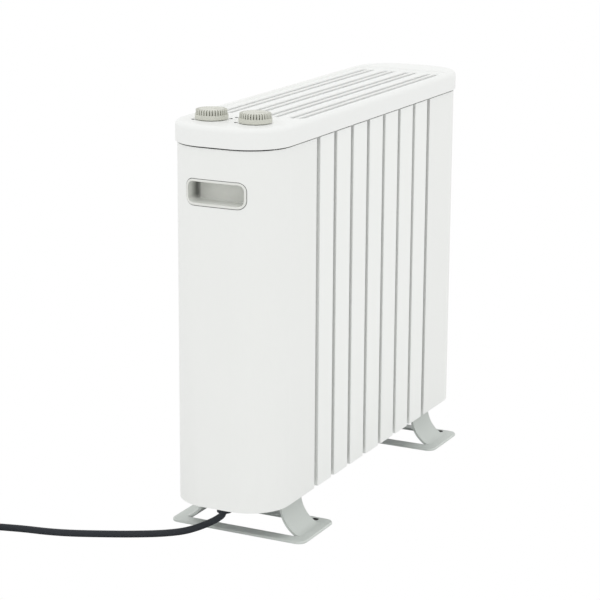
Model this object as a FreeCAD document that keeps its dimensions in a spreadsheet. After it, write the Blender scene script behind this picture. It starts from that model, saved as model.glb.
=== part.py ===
import FreeCAD, Part
import math
import os
import re
import Sketcher

# An oil-free radiator that stands on two bent sheet feet: a louvred lid with two knobs, grooved steel sides,
# two moulded end caps with handle cups, a pair of finned heating elements and a mains lead.
# X runs along the heater with the control end at -X, Z is up, and the floor under the feet is z = 0.

Vector = FreeCAD.Vector
UP = Vector(0, 0, 1)

doc = FreeCAD.newDocument("Radiator")
sheet = doc.addObject("Spreadsheet::Sheet", "Sizes")

DRIVING = [
    # casing
    ("body_length", 482),
    ("body_width", 117),
    ("body_height", 360.4),
    ("body_bottom", 38),
    ("corner_radius", 43),
    ("cap_wall", 2.5),
    ("cap_lip", 2.5),
    ("near_cap_length", 100.8),
    ("far_cap_length", 101.15),
    # lid
    ("lid_seam", 1.6),
    ("lid_height", 20),
    ("lid_overhang", 2),
    ("lid_wall", 2.5),
    ("lid_edge_round", 5),
    ("slot_width", 6),
    ("slat_width", 3.2),
    ("slot_pitch", 26),
    ("slot_depth", 8),
    ("slot_round", 1.5),
    ("slot_end_round", 2.4),
    ("slot_near_margin", 90),
    ("slot_far_margin", 50),
    ("field_sink", 2.2),
    ("field_margin", 9),
    ("field_side_margin", 6.2),
    ("field_corner", 8),
    ("field_round", 1.8),
    ("rib_wall", 2.2),
    # pressed side panels
    ("panel_sheet", 1),
    ("panel_lap", 11),
    ("lap_gap", 0.2),
    ("joint_groove", 8.5),
    ("groove_width", 7),
    ("groove_depth", 6),
    ("groove_pitch", 38.9),
    ("sheet_round", 0.8),
    # handle cups
    ("handle_height", 355.2),
    ("cup_width", 66),
    ("cup_tall", 26.6),
    ("cup_corner", 9),
    ("cup_depth", 24),
    ("cup_wall", 2.2),
    ("cup_bend", 1.5),
    ("cup_flange", 4),
    ("rim_gap", 0.6),
    ("rim_proud", 0.8),
    ("rim_round", 0.6),
    ("fit_gap", 0.3),
    # base plate
    ("base_sheet", 1.5),
    ("base_recess", 6),
    ("intake_width", 5),
    ("intake_length", 34),
    ("intake_pitch", 14),
    # feet
    ("foot_length", 152),
    ("foot_width", 74),
    ("foot_sheet", 2.5),
    ("foot_setback", 77),
    ("foot_corner", 9),
    ("foot_edge_round", 1.2),
    ("foot_bar", 13.5),
    ("foot_window", 121),
    ("foot_hole", 7),
    ("foot_hole_setback", 7.5),
    ("foot_hole_spread", 114),
    ("tongue_width", 44),
    ("tongue_rise", 9.5),
    ("tongue_radius", 32.5),
    ("tongue_reach", 77),
    ("tongue_flange", 18),
    ("tongue_bend", 14),
    ("tongue_sink", 0.05),
    ("foot_screw_spread", 24),
    # screws
    ("screw_shank", 3.5),
    ("screw_head", 7),
    ("screw_head_height", 2.4),
    ("screw_play", 0.1),
    ("cap_screw_length", 14),
    ("lid_screw_length", 16),
    ("bracket_screw_reach", 12),
    ("bulkhead_screw_length", 8),
    ("earth_screw_length", 6),
    # bosses and tabs that take the screws
    ("post_size", 10),
    ("post_height", 18),
    ("post_reach", 16.5),
    ("post_setback", 50.8),
    ("far_post_setback", 61.85),
    ("tab_drop", 11),
    ("tab_thickness", 3),
    ("boss_size", 8),
    # knobs and controls
    ("knob_diameter", 32.4),
    ("knob_height", 9.3),
    ("knob_lift", 0.8),
    ("knob_skirt", 4.3),
    ("knob_step", 0.9),
    ("knob_crown", 0.5),
    ("knob_rib_depth", 3),
    ("knob_rib_width", 1.3),
    ("knob_spread", 47.6),
    ("knob_setback", 38),
    ("pointer_width", 1.2),
    ("pointer_length", 9),
    ("pointer_depth", 0.4),
    ("spindle_diameter", 6),
    ("spindle_play", 0.05),
    ("spindle_seat", 7),
    ("spindle_hole", 9),
    ("collar_diameter", 10),
    ("collar_height", 2),
    ("bush_diameter", 10),
    ("bush_height", 7),
    ("nut_across", 14),
    ("nut_height", 3),
    ("bracket_sheet", 1.2),
    ("bracket_length", 48),
    ("bracket_width", 82),
    ("bracket_screw_length", 40.4),
    ("bracket_screw_width", 76),
    ("control_length", 34),
    ("control_width", 22),
    ("control_drop", 24),
    ("control_wall", 3),
    ("set_pin_diameter", 3),
    ("set_pin_length", 6),
    ("leaf_thickness", 0.6),
    ("leaf_gap", 1.6),
    ("cam_diameter", 15),
    ("cam_height", 5),
    ("tab_length", 8),
    ("tab_width", 4.8),
    ("tab_gauge", 0.8),
    # heating elements and their bulkheads
    ("bulkhead_sheet", 1),
    ("bulkhead_height", 300),
    ("bulkhead_flange", 15),
    ("near_bulkhead_gap", 4.5),
    ("far_bulkhead_gap", 5.7),
    ("bulkhead_play", 0.7),
    ("bulkhead_screw_inset", 7),
    ("low_element_height", 115),
    ("high_element_height", 205),
    ("element_bore", 8.2),
    ("element_hub", 16),
    ("element_reach", 34),
    ("element_fin", 2.4),
    ("element_margin", 11),
    ("rod_diameter", 8),
    ("rod_overhang", 9),
    ("pin_diameter", 3.2),
    ("pin_length", 10),
    ("bead_diameter", 18),
    ("bead_length", 8),
    ("strap_thickness", 2),
    ("strap_width", 12),
    ("cutout_diameter", 16),
    ("cutout_length", 8),
    ("cutout_height", 250),
    ("cutout_offset", 25),
    # mains terminals and lead
    ("terminal_length", 20),
    ("terminal_width", 30),
    ("terminal_height", 14),
    ("terminal_setback", 56),
    ("terminal_offset", 25),
    ("terminal_bore", 4.5),
    ("terminal_entry", 5),
    ("earth_setback", 10),
    ("lead_hole", 9),
    ("lead_hole_lift", 12.5),
    ("lead_hole_offset", 30.5),
    ("gland_setback", 15),
    ("gland_offset", 1.5),
    ("gland_collar", 15.4),
    ("gland_drop", 12.5),
    ("gland_neck", 11),
    ("gland_top", 6),
    ("gland_lip", 1.2),
    ("gland_mouth", 13.6),
    ("gland_seat", 2),
    ("cord_diameter", 7),
    ("core_diameter", 2.4),
    ("coil_radius", 46.5),
    ("coil_pitch", 7.5),
    ("coil_lift", 5.2),
    ("tie_gauge", 1.2),
    ("tie_width", 6),
    ("tie_slack", 0.9),
    ("plug_collar", 37),
    ("plug_collar_length", 12),
    ("plug_grip", 25),
    ("plug_grip_length", 26),
    ("plug_tail", 12),
    ("plug_tail_length", 14),
    ("plug_pin", 4.8),
    ("plug_pin_length", 19),
    ("plug_pin_spread", 19),
]

DERIVED = [
    ("body_top", "=body_bottom + body_height"),
    ("half_length", "=body_length / 2"),
    ("half_width", "=body_width / 2"),
    ("lid_bottom", "=body_top + lid_seam"),
    ("lid_top", "=lid_bottom + lid_height"),
    ("lid_half_length", "=half_length + lid_overhang"),
    ("lid_half_width", "=half_width + lid_overhang"),
    ("slot_start", "=-lid_half_length + slot_near_margin"),
    ("slot_end", "=lid_half_length - slot_far_margin"),
    ("pair_width", "=2 * slot_width + slat_width"),
    ("field_top", "=lid_top - field_sink"),
    ("field_start", "=slot_start - field_margin"),
    ("field_end", "=slot_end + field_margin"),
    ("near_cap_edge", "=-half_length + near_cap_length"),
    ("far_cap_edge", "=half_length - far_cap_length"),
    ("panel_start", "=near_cap_edge + joint_groove"),
    ("panel_end", "=far_cap_edge - groove_width"),
    ("first_groove", "=near_cap_edge + joint_groove / 2 + groove_pitch"),
    ("groove_back", "=half_width - groove_depth - panel_sheet"),
    ("cup_inner_width", "=cup_width - 2 * (rim_gap + cup_wall)"),
    ("cup_inner_tall", "=cup_tall - 2 * (rim_gap + cup_wall)"),
    ("cup_inner_corner", "=cup_corner - rim_gap - cup_wall"),
    ("base_bottom", "=body_bottom + base_recess"),
    ("base_top", "=base_bottom + base_sheet"),
    ("base_half_width", "=groove_back - lap_gap"),
    ("base_half_length", "=half_length - cap_wall - lap_gap"),
    ("post_inner", "=half_width - cap_wall / 2 - post_reach"),
    ("post_axis", "=post_inner + post_size / 2"),
    ("near_post_x", "=near_cap_edge - post_setback"),
    ("far_post_x", "=far_cap_edge + far_post_setback"),
    ("tab_top", "=body_top - tab_drop"),
    ("foot_spread", "=body_length - 2 * foot_setback"),
    ("foot_screw_axis", "=tongue_reach - tongue_radius - foot_sheet - tongue_flange / 2"),
    ("knob_x", "=-half_length + knob_setback"),
    ("knob_bottom", "=lid_top + knob_lift"),
    ("knob_top", "=knob_bottom + knob_height"),
    ("spindle_top", "=knob_bottom + spindle_seat"),
    ("bracket_bottom", "=lid_bottom - bracket_sheet"),
    ("control_floor", "=bracket_bottom - control_drop"),
    ("cavity_roof", "=bracket_bottom - control_wall"),
    ("spindle_foot", "=cavity_roof - fit_gap - collar_height"),
    ("near_bulkhead_x", "=near_cap_edge - near_bulkhead_gap"),
    ("far_bulkhead_x", "=far_cap_edge + far_bulkhead_gap"),
    ("bulkhead_half_width", "=groove_back - bulkhead_play"),
    ("bulkhead_screw_axis", "=bulkhead_half_width - bulkhead_screw_inset"),
    ("bulkhead_top", "=base_top + bulkhead_height"),
    ("terminal_x", "=-half_length + terminal_setback"),
    ("terminal_top", "=base_top + terminal_height"),
    ("gland_x", "=-half_length + gland_setback"),
    ("gland_low", "=base_bottom - gland_drop"),
    ("gland_roof", "=base_bottom - gland_seat"),
    ("gland_high", "=base_top + gland_lip + gland_top"),
]

for row, (name, value) in enumerate(DRIVING + DERIVED, 1):
    sheet.set("A%d" % row, name)
    sheet.set("B%d" % row, str(value))
    sheet.setAlias("B%d" % row, name)
doc.recompute()

NAMES = {name for name, value in DRIVING + DERIVED}
SLOT_PAIRS = 4
KNOB_RIBS = 34
FIN_COUNT = 6
INTAKE_COUNT = 16

nodes = []


# Shared ways of making a piece

def size(name):
    """The number that a cell of the sheet holds."""
    return float(sheet.get(name))


def formula(text):
    """The same words as an expression that reads the sheet's cells."""
    def cell(word):
        return "Sizes." + word.group() if word.group() in NAMES else word.group()

    return re.sub(r"[a-z]\w*", cell, text)


def bind(item, **formulas):
    for property_name, text in formulas.items():
        item.setExpression(property_name, formula(text))
    return item


def keep(item, label):
    """Names a finished piece and puts it on the list of pieces to write."""
    item.Label = label
    nodes.append(item)
    return item


def new_body(name):
    return doc.addObject("PartDesign::Body", name)


def new_sketch(body, role, offset):
    """A sketch on one of the body's own origin planes, moved along that plane's normal."""
    sketch = body.newObject("Sketcher::SketchObject", body.Name + "_sketch")
    plane = [item for item in body.Origin.OriginFeatures if item.Role == role][0]
    sketch.AttachmentSupport = [(plane, "")]
    sketch.MapMode = "FlatFace"
    sketch.setExpression("AttachmentOffset.Base.z", formula(offset))
    return sketch


def tie_point(sketch, geometry, place, start, x, y):
    """Ties one point of a sketch to the sheet by its coordinates; one of them can be None and stays free."""
    for kind, value, text in (("DistanceX", start.x, x), ("DistanceY", start.y, y)):
        if text is not None:
            index = sketch.addConstraint(Sketcher.Constraint(kind, -1, 1, geometry, place, value))
            sketch.setExpression("Constraints[%d]" % index, formula(text))


def outline(body, role, offset, *loops):
    """Closed outlines of straight sides; each corner is a pair of formulas."""
    sketch = new_sketch(body, role, offset)
    first = 0
    for corners in loops:
        count = len(corners)
        starts = [Vector(10 * math.cos(2 * math.pi * i / count), 10 * math.sin(2 * math.pi * i / count), 0)
                  for i in range(count)]
        sketch.addGeometry([Part.LineSegment(starts[i], starts[(i + 1) % count]) for i in range(count)])
        sketch.addConstraint([Sketcher.Constraint("Coincident", first + i, 2, first + (i + 1) % count, 1)
                              for i in range(count)])
        for i, (x, y) in enumerate(corners):
            tie_point(sketch, first + i, 1, starts[i], x, y)
        first += count
    return sketch


def circles(body, role, offset, diameter, centres):
    """Circles of one diameter; each centre is a pair of formulas."""
    sketch = new_sketch(body, role, offset)
    for index, (x, y) in enumerate(centres):
        start = Vector(20.0 * (index + 1), 5.0, 0)
        sketch.addGeometry(Part.Circle(start, UP, 2.0))
        tie_point(sketch, index, 3, start, x, y)
        number = sketch.addConstraint(Sketcher.Constraint("Diameter", index, 4.0))
        sketch.setExpression("Constraints[%d]" % number, formula(diameter))
    return sketch


def rounded(body, role, offset, half_wide, half_tall, middle, radius):
    """A rectangle with round corners, centred on the sketch's upright axis."""
    sketch = new_sketch(body, role, offset)
    wide, tall, bend = 20.0, 12.0, 4.0
    quarters = [(1, -1), (1, 1), (-1, 1), (-1, -1)]
    for index, (across, up) in enumerate(quarters):
        centre = Vector(across * (wide - bend), up * (tall - bend), 0)
        first = -math.pi / 2 + index * math.pi / 2
        sketch.addGeometry(Part.ArcOfCircle(Part.Circle(centre, UP, bend), first, first + math.pi / 2))
    for index, (across, up) in enumerate(quarters):
        centre_x = "%d * ((%s) - (%s))" % (across, half_wide, radius)
        centre_y = "%s + %d * ((%s) - (%s))" % (middle, up, half_tall, radius)
        tie_point(sketch, index, 3, sketch.getPoint(index, 3), centre_x, centre_y)
        if index % 2 == 0:
            tie_point(sketch, index, 1, sketch.getPoint(index, 1), centre_x,
                      "%s + %d * (%s)" % (middle, up, half_tall))
            tie_point(sketch, index, 2, sketch.getPoint(index, 2), None, centre_y)
        else:
            tie_point(sketch, index, 1, sketch.getPoint(index, 1),
                      "%d * (%s)" % (across, half_wide), centre_y)
            tie_point(sketch, index, 2, sketch.getPoint(index, 2), centre_x, None)
    for index in range(4):
        after = (index + 1) % 4
        line = sketch.addGeometry(Part.LineSegment(sketch.getPoint(index, 2), sketch.getPoint(after, 1)))
        sketch.addConstraint(Sketcher.Constraint("Coincident", line, 1, index, 2))
        sketch.addConstraint(Sketcher.Constraint("Coincident", line, 2, after, 1))
    return sketch


def rectangle(x0, x1, y0, y1):
    return [(x0, y0), (x1, y0), (x1, y1), (x0, y1)]


def pad(body, sketch, length, reverse=False):
    feature = body.newObject("PartDesign::Pad", body.Name + "_pad")
    feature.Profile = sketch
    feature.Reversed = reverse
    return bind(feature, Length=length)


def pocket(body, sketch, length, reverse=False):
    """Cuts into the body, and stops if nothing was cut."""
    doc.recompute()
    before = body.Shape.Volume
    feature = body.newObject("PartDesign::Pocket", body.Name + "_pocket")
    feature.Profile = sketch
    feature.Reversed = reverse
    bind(feature, Length=length)
    doc.recompute()
    if body.Shape.Volume >= before - 1e-6:
        raise ValueError("%s cuts nothing from %s" % (feature.Name, body.Name))
    return feature


def revolve(body, sketch):
    """Turns a profile on the XZ plane a full turn about Z."""
    feature = body.newObject("PartDesign::Revolution", body.Name + "_turned")
    feature.Profile = sketch
    axis = [item for item in body.Origin.OriginFeatures if item.Role == "Z_Axis"][0]
    feature.ReferenceAxis = (axis, [""])
    feature.Angle = 360
    return feature


def chosen(shape, kind, test):
    """The names of the faces or edges that pass a test."""
    items = shape.Faces if kind == "Face" else shape.Edges
    return ["%s%d" % (kind, index) for index, item in enumerate(items, 1) if test(item)]


def round_edges(body, radius, test):
    doc.recompute()
    base = body.Tip
    feature = body.newObject("PartDesign::Fillet", body.Name + "_round")
    feature.Base = (base, chosen(base.Shape, "Edge", test))
    bind(feature, Radius=radius)
    doc.recompute()
    return feature


def hollow(body, wall, test):
    """Leaves a wall of even thickness, open at the faces that pass a test."""
    doc.recompute()
    base = body.Tip
    feature = body.newObject("PartDesign::Thickness", body.Name + "_hollow")
    feature.Base = (base, chosen(base.Shape, "Face", test))
    feature.Reversed = True
    bind(feature, Value=wall)
    doc.recompute()
    return feature


def straight(edge, direction):
    """Whether an edge is a straight line along a direction."""
    if not isinstance(edge.Curve, (Part.Line, Part.LineSegment)):
        return False
    return abs(edge.tangentAt(edge.FirstParameter).dot(direction)) > 0.999


def near(value, target):
    return abs(value - target) < 0.02


def level(item, height):
    """Whether an edge or face lies flat at one height."""
    return near(item.BoundBox.ZMin, height) and near(item.BoundBox.ZMax, height)


def tube(points, diameter, bends):
    """A round tube along straight runs joined by tangent arcs."""
    edges = []
    start = points[0]
    for index in range(1, len(points) - 1):
        corner = points[index]
        before = (corner - points[index - 1])
        after = (points[index + 1] - corner)
        turn = before.getAngle(after)
        cut = bends[index - 1] * math.tan(turn / 2)
        first = corner - before.normalize() * cut
        last = corner + after.normalize() * cut
        middle_way = (first + last) * 0.5 - corner
        depth = bends[index - 1] * (1 / math.cos(turn / 2) - 1)
        edges.append(Part.LineSegment(start, first).toShape())
        edges.append(Part.Arc(first, corner + middle_way.normalize() * depth, last).toShape())
        start = last
    edges.append(Part.LineSegment(start, points[-1]).toShape())
    return sweep(Part.Wire(edges), diameter)


def sweep(path, diameter):
    """A round section carried along a path, with a check on its volume."""
    edge = path.Edges[0]
    start = edge.valueAt(edge.FirstParameter)
    section = Part.Wire(Part.Circle(start, edge.tangentAt(edge.FirstParameter), diameter / 2).toShape())
    shell = Part.BRepOffsetAPI.MakePipeShell(path)
    shell.add(section)
    shell.build()
    shell.makeSolid()
    solid = shell.shape()
    expected = path.Length * math.pi * diameter ** 2 / 4
    if abs(solid.Volume / expected - 1) > 0.01:
        raise ValueError("a tube's volume is %.1f and should be %.1f" % (solid.Volume, expected))
    return solid


def route_bends(points):
    """Each corner's arc, as large as its two runs allow."""
    bends = []
    for before, corner, after in zip(points, points[1:], points[2:]):
        shorter = min((corner - before).Length, (after - corner).Length)
        turn = (corner - before).getAngle(after - corner)
        bends.append(0.45 * shorter / math.tan(turn / 2))
    return bends


def code_shape(label, shape):
    """A piece whose shape is worked out here from the sheet's values."""
    feature = doc.addObject("Part::Feature", label)
    feature.Shape = shape
    return keep(feature, label)


def screws(label, places, direction, length):
    """A group of like pan-head screws; each place is the underside of a head."""
    head = size("screw_head") / 2
    height = size("screw_head_height")
    solids = []
    for place in places:
        shank = Part.makeCylinder(size("screw_shank") / 2, length, place, direction)
        cap = Part.makeCylinder(head, height, place - direction * height, direction)
        rim = [edge for edge in cap.Edges
               if edge.Closed and (edge.CenterOfMass - place).dot(direction) < -0.1]
        solids.append(cap.makeFillet(0.4 * height, rim).fuse(shank).removeSplitter())
    return code_shape(label, Part.makeCompound(solids))


# Lid: a moulded cover with a rounded rim, a sunk grille of paired slots for the warm air and bosses below

lid = new_body("lid")
lid_plan = rectangle("-lid_half_length", "lid_half_length", "-lid_half_width", "lid_half_width")
pad(lid, outline(lid, "XY_Plane", "lid_bottom", lid_plan), "lid_height")
round_edges(lid, "corner_radius + lid_overhang", lambda edge: straight(edge, UP))
hollow(lid, "lid_wall", lambda face: level(face, size("lid_bottom")))

field_reach = "(slot_pitch * %s + pair_width / 2 + field_side_margin)" % ((SLOT_PAIRS - 1) / 2)
grille_plan = rectangle("field_start - rib_wall", "field_end + rib_wall",
                        "-%s - rib_wall" % field_reach, "%s + rib_wall" % field_reach)
pad(lid, outline(lid, "XY_Plane", "field_top - slot_depth", grille_plan),
    "slot_depth + field_sink - lid_wall / 2")
field_plan = rectangle("field_start", "field_end", "-" + field_reach, field_reach)
pocket(lid, outline(lid, "XY_Plane", "lid_top", field_plan), "field_sink")
round_edges(lid, "field_corner", lambda edge: straight(edge, UP) and near(edge.Length, size("field_sink")))

slot_loops = []
for index in range(SLOT_PAIRS):
    for hand in (-1, 1):
        slot_y = "slot_pitch * %s + %d * (slot_width + slat_width) / 2" % (index - (SLOT_PAIRS - 1) / 2, hand)
        slot_loops.append(rectangle("slot_start", "slot_end",
                                    slot_y + " - slot_width / 2", slot_y + " + slot_width / 2"))
pocket(lid, outline(lid, "XY_Plane", "field_top", *slot_loops), "slot_depth")
slot_ends = (size("slot_start"), size("slot_end"))
round_edges(lid, "slot_end_round", lambda edge: straight(edge, UP) and near(edge.Length, size("slot_depth"))
            and any(near(edge.CenterOfMass.x, end) for end in slot_ends))

bar_loops = []
for index in range(SLOT_PAIRS - 1):
    bar_y = "slot_pitch * %s" % (index - (SLOT_PAIRS - 2) / 2)
    bar_half = "(slot_pitch - pair_width) / 2 - rib_wall"
    bar_loops.append(rectangle("slot_start", "slot_end",
                               "%s - (%s)" % (bar_y, bar_half), "%s + %s" % (bar_y, bar_half)))
pocket(lid, outline(lid, "XY_Plane", "field_top - slot_depth", *bar_loops), "slot_depth - lid_wall",
       reverse=True)

near_posts = [("near_post_x", "%d * post_axis" % side) for side in (-1, 1)]
far_posts = [("far_post_x", "%d * post_axis" % side) for side in (-1, 1)]
bracket_posts = [("knob_x + %s * bracket_screw_length / 2" % end, "%s * bracket_screw_width / 2" % side)
                 for end in (-1, 1) for side in (-1, 1)]
pad(lid, circles(lid, "XY_Plane", "tab_top", "boss_size", near_posts), "lid_top - tab_top - lid_wall / 2")
pad(lid, circles(lid, "XY_Plane", "tab_top", "boss_size", far_posts), "field_top - tab_top - lid_wall / 2")
pad(lid, circles(lid, "XY_Plane", "lid_bottom", "boss_size", bracket_posts), "lid_height - lid_wall / 2")
screw_hole = "screw_shank + 2 * screw_play"
pocket(lid, circles(lid, "XY_Plane", "tab_top", screw_hole, near_posts + far_posts), "post_height",
       reverse=True)
pocket(lid, circles(lid, "XY_Plane", "lid_bottom", screw_hole, bracket_posts), "lid_height - 2 * lid_wall",
       reverse=True)
knob_places = [("knob_x", "knob_spread / 2"), ("knob_x", "-knob_spread / 2")]
pocket(lid, circles(lid, "XY_Plane", "lid_top", "spindle_hole", knob_places), "2 * lid_wall")


def on_slot_rim(edge):
    middle = edge.BoundBox.Center
    reach = size("slot_pitch") * (SLOT_PAIRS - 1) / 2 + size("pair_width") / 2
    return level(edge, size("field_top")) and abs(middle.y) < reach + 0.1 \
        and size("slot_start") - 0.1 < middle.x < size("slot_end") + 0.1 \
        and edge.BoundBox.YLength < size("slot_pitch")


def on_field_rim(edge):
    box = edge.BoundBox
    return level(edge, size("lid_top")) and box.XMin > size("field_start") - 0.1 \
        and box.XMax < size("field_end") + 0.1 and abs(box.Center.y) < size("lid_half_width") - 1


round_edges(lid, "slot_round", on_slot_rim)
round_edges(lid, "field_round", on_field_rim)
round_edges(lid, "lid_edge_round", lambda edge: level(edge, size("lid_top"))
            and (near(edge.BoundBox.XMax, size("lid_half_length"))
                 or near(edge.BoundBox.XMin, -size("lid_half_length"))
                 or near(abs(edge.BoundBox.Center.y), size("lid_half_width"))))
keep(lid, "lid")


# End caps: moulded walls that wrap round the ends, with a handle opening, screw posts and tabs for the lid

def end_cap(label, side, edge, post_x):
    cap = new_body(label)
    end = "%d * half_length" % side
    cap_plan = rectangle(end, edge, "-half_width", "half_width")
    pad(cap, outline(cap, "XY_Plane", "body_bottom", cap_plan), "body_height")
    round_edges(cap, "corner_radius", lambda item: straight(item, UP)
                and near(item.CenterOfMass.x, side * size("half_length")))
    hollow(cap, "cap_wall", lambda face: level(face, size("body_bottom")) or level(face, size("body_top"))
           or (near(face.BoundBox.XMin, size(edge)) and near(face.BoundBox.XMax, size(edge))))
    opening = rounded(cap, "YZ_Plane", end + " + %d * cap_wall" % side, "cup_width / 2", "cup_tall / 2",
                      "handle_height", "cup_corner")
    pocket(cap, opening, "cup_depth", reverse=side < 0)
    for hand in (-1, 1):
        block = rectangle("%s - post_size / 2" % post_x, "%s + post_size / 2" % post_x,
                          "%d * post_inner" % hand, "%d * (half_width - cap_wall / 2)" % hand)
        pad(cap, outline(cap, "XY_Plane", "base_top", block), "post_height")
        pad(cap, outline(cap, "XY_Plane", "tab_top - tab_thickness", block), "tab_thickness")
    lips = [rectangle(edge, "%s + %d * cap_lip" % (edge, side),
                      "%d * (half_width - groove_depth + lap_gap)" % hand,
                      "%d * (half_width - cap_wall / 2)" % hand) for hand in (-1, 1)]
    pad(cap, outline(cap, "XY_Plane", "body_bottom", *lips), "body_height")
    holes = [(post_x, "-post_axis"), (post_x, "post_axis")]
    pocket(cap, circles(cap, "XY_Plane", "base_top", screw_hole, holes), "post_height", reverse=True)
    pocket(cap, circles(cap, "XY_Plane", "tab_top", screw_hole, holes), "tab_thickness")
    return keep(cap, label)


end_cap("near_end_cap", -1, "near_cap_edge", "near_post_x")
end_cap("far_end_cap", 1, "far_cap_edge", "far_post_x")


# Handle cups: grey inserts set from inside, with a flange behind the end cap and a rim that stands proud

def outside_cap(point):
    """How far a point stands outside the end cap's face, seen from above."""
    x = max(abs(point.x) - size("half_length") + size("corner_radius"), 0)
    y = max(abs(point.y) - size("half_width") + size("corner_radius"), 0)
    return math.hypot(x, y) - size("corner_radius")


def boolean(kind, name, base, tool):
    feature = doc.addObject("Part::" + kind, name)
    feature.Base, feature.Tool = base, tool
    feature.Refine = True
    return feature


def handle_cup(label, side):

    def prism(name, depth, spare, radius):
        """A bar along X with round corners, from outside the cap to a depth inside it."""
        bar = new_body(label + name)
        grow = "cup_inner_%s / 2 + " + spare
        sketch = rounded(bar, "YZ_Plane", "%d * (half_length + cup_bend)" % side,
                         grow % "width", grow % "tall", "handle_height", radius)
        pad(bar, sketch, "%s + cup_bend" % depth, reverse=side > 0)
        return bar

    def end_block(name, swell):
        """A block with the cap's plan, made larger or smaller all round."""
        block = new_body(label + name)
        plan = rectangle("%d * (half_length + %s)" % (side, swell),
                         "%d * (half_length - 2 * cup_depth)" % side,
                         "-half_width - " + swell, "half_width + " + swell)
        pad(block, outline(block, "XY_Plane", "handle_height - cup_tall", plan), "2 * cup_tall")
        round_edges(block, "corner_radius + " + swell, lambda edge: straight(edge, UP)
                    and edge.CenterOfMass.x * side > size("half_length") - size("cup_depth"))
        return block

    skin = end_block("_skin", "rim_proud")
    seat = end_block("_seat", "(-cap_wall - lap_gap)")
    core = end_block("_core", "(-cap_wall - lap_gap - cup_wall)")
    flange_bar = prism("_flange", "cup_depth", "cup_wall + rim_gap + cup_flange", "cup_corner + cup_flange")
    cup_bar = prism("_bar", "cup_depth", "cup_wall", "cup_inner_corner + cup_wall")
    recess = prism("_recess", "cup_depth - cup_wall", "0", "cup_inner_corner")
    back_x = side * (size("half_length") - size("cup_depth") + size("cup_wall"))
    round_edges(recess, "cup_bend", lambda edge: near(edge.BoundBox.XMin, back_x)
                and near(edge.BoundBox.XMax, back_x))
    inside = boolean("Common", label + "_inside", flange_bar, seat)
    flange = boolean("Cut", label + "_seat_flange", inside, core)
    shell = boolean("Common", label + "_shell", cup_bar, skin)
    solid = boolean("Fuse", label + "_solid", flange, shell)
    open_cup = boolean("Cut", label + "_open", solid, recess)
    doc.recompute()
    cup = new_body(label)
    cup.BaseFeature = open_cup

    def on_rim(edge):
        if edge.Degenerated:
            return False
        first, span = edge.FirstParameter, edge.LastParameter - edge.FirstParameter
        stations = [edge.valueAt(first + part * span) for part in (0, 0.5, 1)]
        return all(near(outside_cap(station), size("rim_proud")) for station in stations)

    round_edges(cup, "rim_round", on_rim)
    return keep(cup, label)


handle_cup("near_handle_cup", -1)
handle_cup("far_handle_cup", 1)


# Side panels: sheet steel pressed with upright grooves, lapped behind the end caps at both ends

def side_panel(label, side):
    panel = new_body(label)
    face = "half_width"
    back = "(half_width - panel_sheet)"
    dip = "(half_width - groove_depth)"
    dip_back = "groove_back"
    outer = [("near_cap_edge - panel_lap", dip), ("panel_start", dip), ("panel_start", face)]
    inner = [("near_cap_edge - panel_lap", dip_back), ("panel_start + panel_sheet", dip_back),
             ("panel_start + panel_sheet", back)]
    room = size("panel_end") - size("groove_width") / 2 - 2 * size("panel_sheet") - size("first_groove")
    for index in range(1 + int(room / size("groove_pitch"))):
        middle = "first_groove + %d * groove_pitch" % index
        wide = "groove_width / 2"
        wider = "(groove_width / 2 + panel_sheet)"
        outer += [("%s - %s" % (middle, wide), face), ("%s - %s" % (middle, wide), dip),
                  ("%s + %s" % (middle, wide), dip), ("%s + %s" % (middle, wide), face)]
        inner += [("%s - %s" % (middle, wider), back), ("%s - %s" % (middle, wider), dip_back),
                  ("%s + %s" % (middle, wider), dip_back), ("%s + %s" % (middle, wider), back)]
    outer += [("panel_end", face), ("panel_end", dip), ("far_cap_edge + panel_lap", dip)]
    inner += [("panel_end - panel_sheet", back), ("panel_end - panel_sheet", dip_back),
              ("far_cap_edge + panel_lap", dip_back)]
    corners = [(x, "%d * %s" % (side, y)) for x, y in outer + inner[::-1]]
    pad(panel, outline(panel, "XY_Plane", "body_bottom", corners), "body_height")
    face_y = side * size("half_width")
    round_edges(panel, "sheet_round", lambda edge: straight(edge, UP) and near(edge.CenterOfMass.y, face_y))
    return keep(panel, label)


side_panel("front_side_panel", -1)
side_panel("rear_side_panel", 1)


# Base plate: sheet steel between the panels, with air intakes and holes for the gland and the screws

base = new_body("base_plate")
base_plan = rectangle("-base_half_length", "base_half_length", "-base_half_width", "base_half_width")
pad(base, outline(base, "XY_Plane", "base_bottom", base_plan), "base_sheet")
round_edges(base, "corner_radius - (half_width - base_half_width)", lambda edge: straight(edge, UP))
first_intake = "-intake_pitch * %s" % ((INTAKE_COUNT - 1) / 2)
intakes = [rectangle(first_intake + " - intake_width / 2", first_intake + " + intake_width / 2",
                     "%d * intake_width" % hand, "%d * (intake_width + intake_length)" % hand)
           for hand in (-1, 1)]
intake_cut = pocket(base, outline(base, "XY_Plane", "base_bottom", *intakes), "base_sheet", reverse=True)
intake_row = base.newObject("PartDesign::LinearPattern", "intake_row")
intake_row.Originals = [intake_cut]
intake_row.Direction = ([item for item in base.Origin.OriginFeatures if item.Role == "X_Axis"][0], [""])
intake_row.Occurrences = INTAKE_COUNT
bind(intake_row, Length="intake_pitch * %d" % (INTAKE_COUNT - 1))
base.Tip = intake_row
gland_place = [("gland_x", "-gland_offset")]
pocket(base, circles(base, "XY_Plane", "base_bottom", "gland_neck + 2 * screw_play", gland_place),
       "base_sheet", reverse=True)
foot_screw_places = [("%d * foot_spread / 2 + %d * foot_screw_spread / 2" % (end, row),
                      "%d * foot_screw_axis" % hand)
                     for end in (-1, 1) for row in (-1, 1) for hand in (-1, 1)]
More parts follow.
